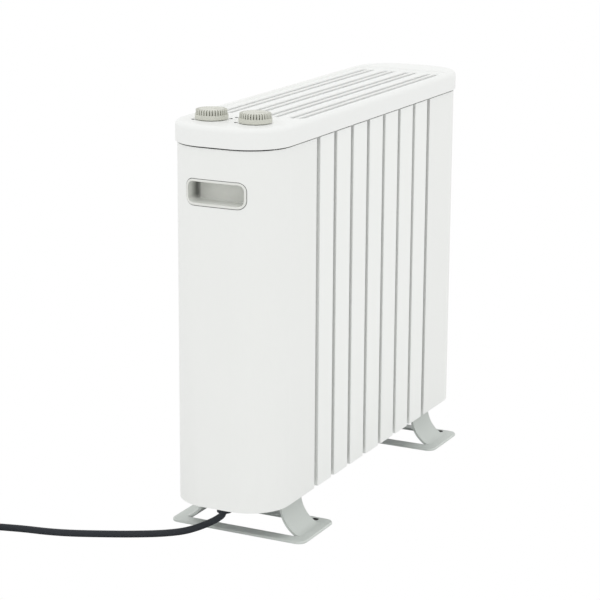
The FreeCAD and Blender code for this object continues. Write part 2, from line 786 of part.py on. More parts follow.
flange_places = [(x, "%d * bulkhead_screw_axis" % hand)
                 for x in ("near_bulkhead_x + bulkhead_flange / 2", "far_bulkhead_x - bulkhead_flange / 2")
                 for hand in (-1, 1)]
post_places = [(x, "%d * post_axis" % hand) for x in ("near_post_x", "far_post_x") for hand in (-1, 1)]
earth_place = ("terminal_x - earth_setback", "-terminal_offset")
base_holes = foot_screw_places + flange_places + post_places + [earth_place]
pocket(base, circles(base, "XY_Plane", "base_bottom", screw_hole, base_holes), "base_sheet", reverse=True)
keep(base, "base_plate")


# Feet: bent sheet, a plate across the heater with a window, and two tongues that curve up to the base plate

def tongue(middle, hand):
    """Sheet from a flange under the base plate, down, and by a wide curve and a bend into the foot plate."""
    gauge, radius, bend = size("foot_sheet"), size("tongue_radius"), size("tongue_bend")
    flange_top = size("base_bottom")
    flange_low = flange_top - gauge
    curve = Vector(0, size("tongue_reach"), flange_low - size("tongue_rise"))
    bend_height = gauge + bend - size("tongue_sink")
    inset = math.sqrt((radius - bend) ** 2 - (curve.z - bend_height) ** 2)
    turn = Vector(0, size("tongue_reach") - inset, bend_height)
    inward, downward = Vector(0, -1, 0), Vector(0, 0, -1)
    joint = (turn - curve).normalize()
    lean = Vector(0, -math.sin(math.radians(10)), -math.cos(math.radians(10)))

    def bow(centre, reach, start, finish):
        middle_way = (start + finish).normalize()
        return Part.Arc(centre + start * reach, centre + middle_way * reach, centre + finish * reach)

    flange_end = size("tongue_reach") - radius - gauge - size("tongue_flange")
    under, over = radius + gauge, radius
    face_y = size("tongue_reach") - radius
    sides = [Part.LineSegment(Vector(0, flange_end, flange_low), Vector(0, face_y - gauge, flange_low)),
             Part.LineSegment(Vector(0, face_y - gauge, flange_low), curve + inward * under),
             bow(curve, under, inward, joint), bow(turn, bend + gauge, joint, lean),
             Part.LineSegment(turn + lean * (bend + gauge), turn + downward * bend),
             bow(turn, bend, downward, joint), bow(curve, over, joint, inward),
             Part.LineSegment(curve + inward * over, Vector(0, face_y, flange_top)),
             Part.LineSegment(Vector(0, face_y, flange_top), Vector(0, flange_end, flange_top)),
             Part.LineSegment(Vector(0, flange_end, flange_top), Vector(0, flange_end, flange_low))]
    profile = Part.Face(Part.Wire([side.toShape() for side in sides]))
    strip = profile.extrude(Vector(size("tongue_width"), 0, 0))
    strip.translate(Vector(-size("tongue_width") / 2, 0, 0))
    for row in (-1, 1):
        place = Vector(row * size("foot_screw_spread") / 2, size("foot_screw_axis"), flange_low - 1)
        strip = strip.cut(Part.makeCylinder(size("screw_shank") / 2 + size("screw_play"), gauge + 2, place))
    if hand < 0:
        strip.rotate(Vector(0, 0, 0), UP, 180)
    strip.translate(Vector(middle, 0, 0))
    return strip


def foot(label, side):
    middle = "%d * foot_spread / 2" % side
    plate = new_body(label + "_plate")
    half = "foot_width / 2"
    plan = rectangle("%s - %s" % (middle, half), "%s + %s" % (middle, half),
                     "-foot_length / 2", "foot_length / 2")
    pad(plate, outline(plate, "XY_Plane", "0", plan), "foot_sheet")
    round_edges(plate, "foot_corner", lambda edge: straight(edge, UP))
    round_edges(plate, "foot_edge_round", lambda edge: level(edge, size("foot_sheet")))
    window = rectangle("%s - %s + foot_bar" % (middle, half), "%s + %s - foot_bar" % (middle, half),
                       "-foot_window / 2", "foot_window / 2")
    pocket(plate, outline(plate, "XY_Plane", "0", window), "foot_sheet", reverse=True)
    holes = [("%s + %s - foot_hole_setback" % (middle, half), "%d * foot_hole_spread / 2" % hand)
             for hand in (-1, 1)]
    pocket(plate, circles(plate, "XY_Plane", "0", "foot_hole", holes), "foot_sheet", reverse=True)
    pieces = [plate]
    for hand in (-1, 1):
        strip = doc.addObject("Part::Feature", label + "_tongue")
        strip.Shape = tongue(side * size("foot_spread") / 2, hand)
        pieces.append(strip)
    whole = doc.addObject("Part::MultiFuse", label)
    whole.Shapes = pieces
    whole.Refine = True
    return keep(whole, label)


foot("near_foot", -1)
foot("far_foot", 1)


# Knobs: a smooth skirt under a finely ribbed grip with a crowned top and a moulded pointer

def knob(label, side):
    turned = new_body(label)
    turned.Placement.Base = Vector(size("knob_x"), side * size("knob_spread") / 2, 0)
    turned.setExpression("Placement.Base.x", formula("knob_x"))
    turned.setExpression("Placement.Base.y", formula("%d * knob_spread / 2" % side))
    bore = "(spindle_diameter / 2 + spindle_play)"
    radius = "knob_diameter / 2"
    grip = "(knob_diameter / 2 - knob_step)"
    profile = [(bore, "knob_bottom"), (radius, "knob_bottom"), (radius, "knob_bottom + knob_skirt"),
               (grip, "knob_bottom + knob_skirt"), (grip, "knob_top - knob_crown"),
               (grip + " - 3 * knob_crown", "knob_top"), ("0", "knob_top"), ("0", "spindle_top"),
               (bore, "spindle_top")]
    revolve(turned, outline(turned, "XZ_Plane", "0", profile))
    doc.recompute()
    rib = rectangle("%s - knob_rib_depth" % grip, radius, "-knob_rib_width / 2", "knob_rib_width / 2")
    cut = pocket(turned, outline(turned, "XY_Plane", "knob_top", rib), "knob_height - knob_skirt")
    ring = turned.newObject("PartDesign::PolarPattern", label + "_ribs")
    ring.Originals = [cut]
    ring.Axis = ([item for item in turned.Origin.OriginFeatures if item.Role == "Z_Axis"][0], [""])
    ring.Angle = 360
    ring.Occurrences = KNOB_RIBS
    turned.Tip = ring
    pointer_start = "-%s + knob_rib_depth + pointer_width" % grip
    mark = rectangle("-pointer_width / 2", "pointer_width / 2",
                     pointer_start, pointer_start + " + pointer_length")
    pocket(turned, outline(turned, "XY_Plane", "knob_top", mark), "pointer_depth")
    return keep(turned, label)


knob("thermostat_knob", 1)
knob("power_knob", -1)


# Controls: thermostat and power switch hang from a bracket under the lid, their spindles reach the knobs

bracket = new_body("control_bracket")
bracket_plan = rectangle("knob_x - bracket_length / 2", "knob_x + bracket_length / 2",
                         "-bracket_width / 2", "bracket_width / 2")
pad(bracket, outline(bracket, "XY_Plane", "bracket_bottom", bracket_plan), "bracket_sheet")
bush_hole = "bush_diameter + 2 * screw_play"
pocket(bracket, circles(bracket, "XY_Plane", "lid_bottom", bush_hole, knob_places), "bracket_sheet")
pocket(bracket, circles(bracket, "XY_Plane", "lid_bottom", screw_hole, bracket_posts), "bracket_sheet")
keep(bracket, "control_bracket")


def control_housing(label, side):
    """A moulded block with a threaded bush on top and a cavity open below."""
    housing = new_body(label)
    middle = "%d * knob_spread / 2" % side
    block = rectangle("knob_x - control_length / 2", "knob_x + control_length / 2",
                      "%s - control_width / 2" % middle, "%s + control_width / 2" % middle)
    room = rectangle("knob_x - control_length / 2 + control_wall",
                     "knob_x + control_length / 2 - control_wall",
                     "%s - control_width / 2 + control_wall" % middle,
                     "%s + control_width / 2 - control_wall" % middle)
    pad(housing, outline(housing, "XY_Plane", "control_floor", block), "control_drop")
    pad(housing, circles(housing, "XY_Plane", "bracket_bottom", "bush_diameter", [("knob_x", middle)]),
        "bracket_sheet + bush_height")
    pocket(housing, outline(housing, "XY_Plane", "control_floor", room), "control_drop - control_wall",
           reverse=True)
    bore = "spindle_diameter + 2 * spindle_play"
    pocket(housing, circles(housing, "XY_Plane", "cavity_roof", bore, [("knob_x", middle)]),
           "control_wall + bracket_sheet + bush_height", reverse=True)
    return keep(housing, label)


control_housing("thermostat_housing", 1)
control_housing("power_switch_housing", -1)


def spindle(label, side, foot_diameter, foot_height):
    """A round spindle with a collar or cam at its foot."""
    shaft = new_body(label)
    middle = [("knob_x", "%d * knob_spread / 2" % side)]
    pad(shaft, circles(shaft, "XY_Plane", "cavity_roof - fit_gap - %s" % foot_height, foot_diameter, middle),
        foot_height)
    pad(shaft, circles(shaft, "XY_Plane", "cavity_roof - fit_gap", "spindle_diameter", middle),
        "spindle_top - cavity_roof")
    return keep(shaft, label)


spindle("thermostat_spindle", 1, "collar_diameter", "collar_height")
spindle("power_switch_shaft", -1, "cam_diameter", "cam_height")

set_pin = new_body("thermostat_set_pin")
pin_place = [("knob_x", "knob_spread / 2")]
pad(set_pin, circles(set_pin, "XY_Plane", "spindle_foot - fit_gap", "set_pin_diameter", pin_place),
    "set_pin_length", reverse=True)
keep(set_pin, "thermostat_set_pin")

leaf = new_body("bimetal_leaf")
leaf_room = rectangle("knob_x - control_length / 2 + control_wall", "knob_x + control_length / 4",
                      "knob_spread / 2 - tab_width / 2", "knob_spread / 2 + tab_width / 2")
pad(leaf, outline(leaf, "XY_Plane", "spindle_foot - fit_gap - set_pin_length - leaf_gap", leaf_room),
    "leaf_thickness", reverse=True)
keep(leaf, "bimetal_leaf")


def terminal_tabs(label, places):
    """Flat push-on tabs that stand down from a control's walls; a place is the middle of a tab's root."""
    tabs = []
    for x, y, along_x in places:
        length, width = size("tab_gauge"), size("tab_width")
        if along_x:
            length, width = width, length
        corner = Vector(x - length / 2, y - width / 2, size("control_floor") - size("tab_length"))
        tabs.append(Part.makeBox(length, width, size("tab_length"), corner))
    return code_shape(label, Part.makeCompound(tabs))


knob_x, knob_y = size("knob_x"), size("knob_spread") / 2
tab_x = knob_x + size("control_length") / 4
end_tab_x = knob_x + (size("control_length") - size("control_wall")) / 2
tab_step = (size("control_width") - size("control_wall")) / 2
terminal_tabs("thermostat_terminals", [(tab_x, knob_y - tab_step, True), (tab_x, knob_y + tab_step, True)])
terminal_tabs("power_switch_terminals", [(tab_x, -knob_y - tab_step, True), (tab_x, -knob_y + tab_step, True),
                                         (end_tab_x, -knob_y, False)])

nuts = []
for side in (-1, 1):
    corner = size("nut_across") / math.sqrt(3)
    corners = [Vector(corner * math.cos(math.radians(60 * k)), corner * math.sin(math.radians(60 * k)), 0)
               for k in range(7)]
    nut = Part.Face(Part.makePolygon(corners)).extrude(UP * size("nut_height"))
    nut = nut.cut(Part.makeCylinder(size("bush_diameter") / 2 + size("spindle_play"), size("nut_height")))
    nut.translate(Vector(size("knob_x"), side * size("knob_spread") / 2, size("lid_bottom")))
    nuts.append(nut)
code_shape("control_nuts", Part.makeCompound(nuts))


# Bulkheads: sheet plates across the inside that hold the elements and close off the control compartment

def bulkhead(label, x, into):
    plate = new_body(label)
    wall = rectangle("-bulkhead_half_width", "bulkhead_half_width", "base_top", "bulkhead_top")
    pad(plate, outline(plate, "YZ_Plane", x, wall), "bulkhead_sheet", reverse=into < 0)
    flange = rectangle(x, "%s + %d * bulkhead_flange" % (x, into),
                       "-bulkhead_half_width", "bulkhead_half_width")
    pad(plate, outline(plate, "XY_Plane", "base_top", flange), "bulkhead_sheet")
    places = [("0", "low_element_height"), ("0", "high_element_height")]
    pocket(plate, circles(plate, "YZ_Plane", x, "bead_diameter + 2 * screw_play", places), "bulkhead_sheet",
           reverse=into > 0)
    lead_place = [("lead_hole_offset", "base_top + lead_hole_lift")]
    pocket(plate, circles(plate, "YZ_Plane", x, "lead_hole", lead_place),
           "bulkhead_sheet", reverse=into > 0)
    holes = [("%s + %d * bulkhead_flange / 2" % (x, into), "%d * bulkhead_screw_axis" % hand)
             for hand in (-1, 1)]
    pocket(plate, circles(plate, "XY_Plane", "base_top", screw_hole, holes), "bulkhead_sheet", reverse=True)
    return keep(plate, label)


bulkhead("near_bulkhead", "near_bulkhead_x", 1)
bulkhead("far_bulkhead", "far_bulkhead_x", -1)


# Heating elements: a sheathed rod in an aluminium star profile, carried by ceramic beads in the bulkheads

def element(prefix, height):
    fins = new_body(prefix + "_element_fins")
    start = "near_bulkhead_x + element_margin"
    length = "far_bulkhead_x - near_bulkhead_x - 2 * element_margin"
    fins.setExpression("Placement.Base.z", formula(height))
    pad(fins, circles(fins, "YZ_Plane", start, "element_hub", [("0", "0")]), length)
    arm = rectangle("element_hub / 3", "element_reach", "-element_fin / 2", "element_fin / 2")
    arm_pad = pad(fins, outline(fins, "YZ_Plane", start, arm), length)
    star = fins.newObject("PartDesign::PolarPattern", prefix + "_star")
    star.Originals = [arm_pad]
    star.Axis = ([item for item in fins.Origin.OriginFeatures if item.Role == "X_Axis"][0], [""])
    star.Angle = 360
    star.Occurrences = FIN_COUNT
    fins.Tip = star
    pocket(fins, circles(fins, "YZ_Plane", start, "element_bore", [("0", "0")]), length, reverse=True)
    keep(fins, prefix + "_element_fins")

    rod = new_body(prefix + "_element_rod")
    ends = "near_bulkhead_x - rod_overhang"
    pad(rod, circles(rod, "YZ_Plane", ends, "rod_diameter", [("0", height)]),
        "far_bulkhead_x - near_bulkhead_x + 2 * rod_overhang")
    pad(rod, circles(rod, "YZ_Plane", ends + " - pin_length", "pin_diameter", [("0", height)]),
        "far_bulkhead_x - near_bulkhead_x + 2 * rod_overhang + 2 * pin_length")
    keep(rod, prefix + "_element_rod")


element("lower", "low_element_height")
element("upper", "high_element_height")

beads = []
for x in (size("near_bulkhead_x") + size("bulkhead_sheet") / 2,
          size("far_bulkhead_x") - size("bulkhead_sheet") / 2):
    for z in (size("low_element_height"), size("high_element_height")):
        place = Vector(x - size("bead_length") / 2, 0, z)
        along = Vector(1, 0, 0)
        bead = Part.makeCylinder(size("bead_diameter") / 2, size("bead_length"), place, along)
        bore = size("rod_diameter") / 2 + size("screw_play")
        bead = bead.cut(Part.makeCylinder(bore, size("bead_length"), place, along))
        beads.append(bead)
code_shape("element_beads", Part.makeCompound(beads))

strap = new_body("neutral_strap")
strap_plan = rectangle("-strap_width / 2", "strap_width / 2",
                       "low_element_height - strap_width", "high_element_height + strap_width")
strap_x = "far_bulkhead_x + rod_overhang + pin_length / 2"
pad(strap, outline(strap, "YZ_Plane", strap_x, strap_plan), "strap_thickness")
pocket(strap, circles(strap, "YZ_Plane", strap_x, "pin_diameter + 2 * spindle_play",
                      [("0", "low_element_height"), ("0", "high_element_height")]),
       "strap_thickness", reverse=True)
keep(strap, "neutral_strap")

cutout = new_body("thermal_cutout")
cutout_place = [("cutout_offset", "cutout_height")]
pad(cutout, circles(cutout, "YZ_Plane", "near_bulkhead_x", "cutout_diameter", cutout_place),
    "cutout_length", reverse=True)
cutout_tabs = [rectangle("cutout_offset + %d * cutout_diameter / 4 - tab_gauge / 2" % hand,
                         "cutout_offset + %d * cutout_diameter / 4 + tab_gauge / 2" % hand,
                         "cutout_height - tab_width / 2", "cutout_height + tab_width / 2")
               for hand in (-1, 1)]
pad(cutout, outline(cutout, "YZ_Plane", "near_bulkhead_x - cutout_length", *cutout_tabs), "tab_length",
    reverse=True)
keep(cutout, "thermal_cutout")


# Mains terminals: a moulded block on the base plate, and the gland that brings the lead in from below

block = new_body("terminal_block")
block_plan = rectangle("terminal_x - terminal_length / 2", "terminal_x + terminal_length / 2",
                       "terminal_offset - terminal_width / 2", "terminal_offset + terminal_width / 2")
pad(block, outline(block, "XY_Plane", "base_top", block_plan), "terminal_height")
terminal_places = [("terminal_x", "terminal_offset + %d * terminal_width / 3" % way) for way in (-1, 0, 1)]
pocket(block, circles(block, "XY_Plane", "terminal_top", "terminal_bore", terminal_places),
       "terminal_height / 2")
entry_places = [("terminal_offset + %d * terminal_width / 3" % way, "base_top + terminal_entry")
                for way in (-1, 0, 1)]
pocket(block, circles(block, "YZ_Plane", "terminal_x + terminal_length / 2", "terminal_bore", entry_places),
       "terminal_length / 3")
keep(block, "terminal_block")

gland = new_body("cable_gland")
gland.setExpression("Placement.Base.x", formula("gland_x"))
gland.setExpression("Placement.Base.y", formula("-gland_offset"))
collar = "gland_collar / 2"
gland_profile = [("cord_diameter / 2", "gland_roof"), ("gland_mouth / 2", "gland_low"), (collar, "gland_low"),
                 (collar, "base_bottom"), ("gland_neck / 2", "base_bottom"), ("gland_neck / 2", "base_top"),
                 (collar, "base_top"), (collar, "base_top + gland_lip"), ("gland_neck / 2", "gland_high"),
                 ("0", "gland_high"), ("0", "gland_roof")]
revolve(gland, outline(gland, "XZ_Plane", "0", gland_profile))
keep(gland, "cable_gland")


# Mains lead: it drops out of the gland, bends at once, and runs over the floor to its coil

CORD_ROUTE = [
    (-226, -1.5, 42), (-226, -1.5, 29), (-225, 8.5, 20.8), (-223.5, 19, 14.3), (-226, 30, 8.8), (-233, 42, 5),
    (-245, 60, 3.6), (-261, 87, 3.6), (-274.5, 115, 3.6), (-286.5, 142, 3.6), (-293.5, 166, 3.6),
    (-297, 188, 3.6),
    (-303, 209, 3.8), (-310.5, 229.6, 4.4), (-319.5, 249.4, 5.2),
]
cord_points = [Vector(*point) for point in CORD_ROUTE]

# The coil's turns: radius, height and heading at each half turn, from the outside in and out again
IN_HALF_TURNS = 5
OUT_HALF_TURNS = 4
COIL_HEADING = 118
LEAD_IN = 1.2

heading = math.radians(COIL_HEADING)
forward = Vector(math.cos(heading), math.sin(heading), 0)
outward = Vector(math.sin(heading), -math.cos(heading), 0)
coil_start = cord_points[-1] + forward * (LEAD_IN * size("cord_diameter")) * 2
coil_start.z = size("coil_lift")
cord_points.append(coil_start - forward * (LEAD_IN * size("cord_diameter")))
coil_centre = coil_start - outward * size("coil_radius")


def coil_station(half_turn):
    """The place and heading of the lead after a number of half turns."""
    layer_step = size("coil_pitch")
    steps_in = half_turn if half_turn <= IN_HALF_TURNS + 1 else 2 * IN_HALF_TURNS + 1 - half_turn
    radius = size("coil_radius") - steps_in * layer_step / 2
    height = 0 if half_turn <= IN_HALF_TURNS else layer_step
    flip = 1 if half_turn % 2 == 0 else -1
    return coil_centre + outward * (flip * radius) + UP * height, forward * flip


def arc_from(start, heading_there, end):
    """The arc that leaves a point along a heading and ends at another point."""
    chord = end - start
    along = heading_there * chord.dot(heading_there)
    aside = chord - along
    radius = chord.Length ** 2 / (2 * aside.Length)
    centre = start + aside.normalize() * radius
    middle = (start + end) * 0.5 - centre
    return Part.Arc(start, centre + middle.normalize() * radius, end).toShape()


coil_edges = [Part.LineSegment(cord_points[-1], coil_start).toShape()]
for half_turn in range(IN_HALF_TURNS + OUT_HALF_TURNS + 1):
    start, start_heading = coil_station(half_turn)
    end, end_heading = coil_station(half_turn + 1)
    reach = (end - start).Length / 2
    joint = (start + end) * 0.5 + (start_heading - end_heading) * (reach / 2)
    coil_edges.append(arc_from(start, start_heading, joint))
    joint_heading = coil_edges[-1].tangentAt(coil_edges[-1].LastParameter)
    coil_edges.append(arc_from(joint, joint_heading, end))

# The end of the lead tips up a little, so that the plug's collar clears the floor
PLUG_TILT = 5.5
TIP_RADIUS = 60
TAIL_RUN = 18
coil_end, end_heading = coil_station(IN_HALF_TURNS + OUT_HALF_TURNS + 1)
tilt = math.radians(PLUG_TILT)
tipped = coil_end + end_heading * (TIP_RADIUS * math.sin(tilt)) + UP * (TIP_RADIUS * (1 - math.cos(tilt)))
plug_way = end_heading * math.cos(tilt) + UP * math.sin(tilt)
plug_place = tipped + plug_way * TAIL_RUN
coil_edges.append(arc_from(coil_end, end_heading, tipped))
coil_edges.append(Part.LineSegment(tipped, plug_place).toShape())
coil_path = Part.Wire(coil_edges)

cord_bends = route_bends(cord_points)
mains_cord = tube(cord_points, size("cord_diameter"), cord_bends)
code_shape("mains_cord", mains_cord)
code_shape("cord_coil", sweep(coil_path, size("cord_diameter")))
print("cord bends", [round(bend, 1) for bend in cord_bends])
cord_length = mains_cord.Volume / (math.pi * size("cord_diameter") ** 2 / 4)
print("cord length", round(cord_length), "and in the coil", round(coil_path.Length))

# The coil's least gap to itself, on points further apart along the lead than a quarter turn
SAMPLES = 1200
samples = coil_path.discretize(SAMPLES)
apart = int(SAMPLES * size("coil_radius") * math.pi / 2 / coil_path.Length)
least = min((samples[i] - samples[j]).Length for i in range(SAMPLES) for j in range(i + apart, SAMPLES))
print("least gap between the coil's turns", round(least - size("cord_diameter"), 2))

# Tie: a flat strap round the coil a quarter turn from its start
inside = size("coil_radius") - IN_HALF_TURNS * size("coil_pitch") / 2 - size("tie_slack") / 2
outside = size("coil_radius") - 0.25 * size("coil_pitch")
reach = size("cord_diameter") / 2 + size("tie_slack")
tie_low = size("coil_lift") - reach
tie_high = size("coil_lift") + size("coil_pitch") + reach
strap_hole = Part.makeBox(outside - inside + 2 * reach, size("tie_width"), tie_high - tie_low,
                          Vector(inside - reach, -size("tie_width") / 2, tie_low))
strap_body = Part.makeBox(outside - inside + 2 * (reach + size("tie_gauge")), size("tie_width"),
                          min(tie_low, size("tie_gauge")) + tie_high - tie_low + size("tie_gauge"),
                          Vector(inside - reach - size("tie_gauge"), -size("tie_width") / 2,
                                 tie_low - min(tie_low, size("tie_gauge"))))
upright_edges = [edge for edge in strap_body.Edges if straight(edge, Vector(0, 1, 0))]
tie_shape = strap_body.makeFillet(2 * size("tie_gauge"), upright_edges).cut(strap_hole)
tie_shape.rotate(Vector(0, 0, 0), UP, COIL_HEADING)
tie_shape.translate(Vector(coil_centre.x, coil_centre.y, 0))
code_shape("cord_tie", tie_shape)


# Plug: a round two-pin plug with a ribbed grip, lying beside the coil

plug = new_body("plug_body")
grip_start = "plug_tail_length"
collar_start = "plug_tail_length + plug_grip_length"
plug_profile = [("0", "0"), ("plug_tail / 2", "0"), ("plug_tail / 2 + 1", grip_start),
                ("plug_grip / 2", grip_start),
                ("plug_grip / 2", "%s - plug_tail / 2" % collar_start), ("plug_collar / 2", collar_start),
                ("plug_collar / 2", "%s + plug_collar_length" % collar_start),
                ("0", "%s + plug_collar_length" % collar_start)]
revolve(plug, outline(plug, "XZ_Plane", "0", plug_profile))
round_edges(plug, "plug_tail / 8", lambda edge: edge.Closed and not level(edge, 0))
pin_places = [("-plug_pin_spread / 2", "0"), ("plug_pin_spread / 2", "0")]
collar_end = collar_start + " + plug_collar_length"
pocket(plug, circles(plug, "XY_Plane", collar_end, "plug_pin + 2 * spindle_play", pin_places),
       "plug_collar_length")
turn = FreeCAD.Rotation(UP, COIL_HEADING).multiply(FreeCAD.Rotation(Vector(0, 1, 0), 90 - PLUG_TILT))
plug.Placement = FreeCAD.Placement(plug_place, turn)
keep(plug, "plug_body")

pins = []
pin_root = size("plug_tail_length") + size("plug_grip_length")
for hand in (-1, 1):
    place = Vector(hand * size("plug_pin_spread") / 2, 0, pin_root)
    pin = Part.makeCylinder(size("plug_pin") / 2, size("plug_collar_length") + size("plug_pin_length"), place)
    tip = [edge for edge in pin.Edges if edge.Closed and edge.CenterOfMass.z > pin_root + 1]
    pins.append(pin.makeFillet(0.4 * size("plug_pin"), tip))
plug_pins = code_shape("plug_pins", Part.makeCompound(pins))
plug_pins.Placement = FreeCAD.Placement(plug_place, turn)


# Inner leads: round wires between the terminals, controls and elements

def inner_lead(label, *routes):
    """One lead, or a group of like leads, along straight runs with rounded bends."""
    wires = []
    for route in routes:
        points = [Vector(*point) for point in route]
        bends = [min(bend, 4 * size("core_diameter")) for bend in route_bends(points)]
        wires.append(tube(points, size("core_diameter"), bends))
    return code_shape(label, Part.makeCompound(wires) if len(wires) > 1 else wires[0])


gland_x, gland_high = size("gland_x"), size("gland_high")
terminal_x, terminal_y, terminal_top = size("terminal_x"), size("terminal_offset"), size("terminal_top")
step = size("terminal_width") / 3
seat = terminal_top - size("terminal_height") / 2
tab_low = size("control_floor") - size("tab_length")
cores = []
for way in (-1, 0, 1):
    y = way * 3 - size("gland_offset")
    cores.append([(gland_x, y, gland_high), (gland_x, y, gland_high + 22),
                  (terminal_x - 22, y + 8 + 3 * way, terminal_top + 22),
                  (terminal_x, terminal_y + way * step, terminal_top + 20),
                  (terminal_x, terminal_y + way * step, seat)])
inner_lead("cord_cores", *cores)

element_end = size("near_bulkhead_x") - size("rod_overhang") - size("pin_length")
for label, height, y in (("low_heat_lead", size("low_element_height"), -knob_y - tab_step),
                         ("high_heat_lead", size("high_element_height"), -knob_y + tab_step)):
    inner_lead(label, [(tab_x, y, tab_low), (tab_x, y, tab_low - 40), (tab_x + 6, y + 4, height + 40),
                       (element_end - 12, -4, height + 14), (element_end - 12, 0, height),
                       (element_end, 0, height)])

cutout_tab = size("near_bulkhead_x") - size("cutout_length") - size("tab_length")
cutout_y, cutout_z = size("cutout_offset"), size("cutout_height")
cutout_step = size("cutout_diameter") / 4
inner_lead("thermostat_lead", [(tab_x, knob_y + tab_step, tab_low), (tab_x, knob_y + tab_step, tab_low - 40),
                               (cutout_tab - 14, cutout_y + cutout_step, cutout_z + 22),
                               (cutout_tab - 14, cutout_y + cutout_step, cutout_z),
                               (cutout_tab, cutout_y + cutout_step, cutout_z)])
inner_lead("link_lead", [(tab_x, knob_y - tab_step, tab_low), (tab_x, knob_y - tab_step, tab_low - 18),
                         (tab_x + 3, 0, tab_low - 26), (end_tab_x, -knob_y, tab_low - 18),
                         (end_tab_x, -knob_y, tab_low)])

entry_x = terminal_x + size("terminal_length") / 6
entry_z = size("base_top") + size("terminal_entry")
inner_lead("live_lead", [(entry_x, terminal_y, entry_z), (terminal_x + 13, terminal_y, entry_z),
                         (terminal_x + 14, terminal_y - 0.5, entry_z + 20),
                         (cutout_tab - 14, cutout_y - cutout_step, cutout_z - 22),
                         (cutout_tab - 14, cutout_y - cutout_step, cutout_z),
                         (cutout_tab, cutout_y - cutout_step, cutout_z)])
inner_lead("earth_lead", [(entry_x, terminal_y - step, entry_z),
                          (terminal_x + 13, terminal_y - step, entry_z),
                          (terminal_x + 17, 8, entry_z - 1), (terminal_x + 15, -10, entry_z - 2),
                          (terminal_x + 6, 1 - terminal_y, entry_z - 3.3),
                          (terminal_x - size("earth_setback") + size("screw_head") / 2 + 0.1, -terminal_y,
                           size("base_top") + size("core_diameter") / 2 + 0.05)])
pass_y, pass_z = size("lead_hole_offset"), size("base_top") + size("lead_hole_lift")
strap_overhang = size("rod_overhang") + (size("pin_length") + size("strap_thickness")) / 2
strap_middle = size("far_bulkhead_x") + strap_overhang
strap_low = size("low_element_height") - size("strap_width")
inner_lead("neutral_lead", [(entry_x, terminal_y + step, entry_z),
                            (size("near_bulkhead_x") - 15, terminal_y + step, entry_z),
                            (size("near_bulkhead_x") - 6, pass_y + 1, pass_z - 1),
                            (size("near_bulkhead_x") + 12, pass_y - 0.5, pass_z + 0.5),
                            (size("far_bulkhead_x") - 12, pass_y - 0.5, pass_z),
                            (size("far_bulkhead_x") + 7, pass_y - 2, pass_z + 0.5),
                            (strap_middle, pass_y / 2, pass_z + 8), (strap_middle, 0, strap_low - 20),
                            (strap_middle, 0, strap_low)])

screws("foot_screws", [Vector(end * size("foot_spread") / 2 + row * size("foot_screw_spread") / 2,
                              hand * size("foot_screw_axis"), size("base_bottom") - size("foot_sheet"))
                       for end in (-1, 1) for row in (-1, 1) for hand in (-1, 1)], UP,
       size("foot_sheet") + size("base_sheet"))
screws("cap_screws", [Vector(size(x), hand * size("post_axis"), size("base_bottom"))
                      for x in ("near_post_x", "far_post_x") for hand in (-1, 1)], UP,
       size("cap_screw_length"))
screws("lid_screws", [Vector(size(x), hand * size("post_axis"), size("tab_top") - size("tab_thickness"))
                      for x in ("near_post_x", "far_post_x") for hand in (-1, 1)], UP,
       size("lid_screw_length"))
screws("bracket_screws", [Vector(knob_x + end * size("bracket_screw_length") / 2,
                                 hand * size("bracket_screw_width") / 2, size("bracket_bottom"))
                          for end in (-1, 1) for hand in (-1, 1)], UP,
       size("bracket_screw_reach"))
flange_face = size("base_top") + size("bulkhead_sheet")
screws("bulkhead_screws", [Vector(x, hand * size("bulkhead_screw_axis"), flange_face)
                           for x in (size("near_bulkhead_x") + size("bulkhead_flange") / 2,
                                     size("far_bulkhead_x") - size("bulkhead_flange") / 2)
                           for hand in (-1, 1)], -UP, size("bulkhead_screw_length"))
screws("earth_screw", [Vector(terminal_x - size("earth_setback"), -terminal_y, size("base_top"))], -UP,
       size("earth_screw_length"))


# Every object is checked before anything is written

doc.recompute()
for item in doc.Objects:
    if "Invalid" in item.State or "Error" in item.State:
        raise ValueError("%s failed: %s" % (item.Name, item.State))
for item in nodes:
    if item.Shape.isNull() or not item.Shape.isValid() or not item.Shape.Solids:
        raise ValueError("%s has no valid solid" % item.Label)

os.makedirs("parts", exist_ok=True)
for item in nodes:
    item.Shape.exportStep("parts/%s.step" % item.Label)
print(len(nodes), "pieces written")
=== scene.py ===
import math
import bpy
from mathutils import Matrix, Vector


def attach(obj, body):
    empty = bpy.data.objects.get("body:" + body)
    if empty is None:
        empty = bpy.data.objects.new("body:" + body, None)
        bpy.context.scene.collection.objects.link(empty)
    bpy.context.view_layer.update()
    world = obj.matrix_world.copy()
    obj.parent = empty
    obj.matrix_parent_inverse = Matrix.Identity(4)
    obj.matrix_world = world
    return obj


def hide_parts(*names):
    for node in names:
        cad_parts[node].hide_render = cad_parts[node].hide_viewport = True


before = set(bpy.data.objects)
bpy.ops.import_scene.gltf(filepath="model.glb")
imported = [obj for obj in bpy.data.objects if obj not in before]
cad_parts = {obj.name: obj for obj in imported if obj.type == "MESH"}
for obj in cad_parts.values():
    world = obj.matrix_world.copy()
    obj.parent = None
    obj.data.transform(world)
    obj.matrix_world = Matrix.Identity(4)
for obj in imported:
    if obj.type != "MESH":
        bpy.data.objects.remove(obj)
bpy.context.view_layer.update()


# Camera
# A long lens from the control end and a little above the lid, as the photograph was taken.
# Position and tilt were solved from the heater's edges; the picture is square.

azimuth, elevation, roll = math.radians(-63.51), math.radians(14.41), math.radians(0.34)
camera_aim, camera_distance = Vector((-0.05786, 0.0, 0.20988)), 2.17323
sensor_width, focal_pixels, picture_pixels = 36.0, 2084.32, 600

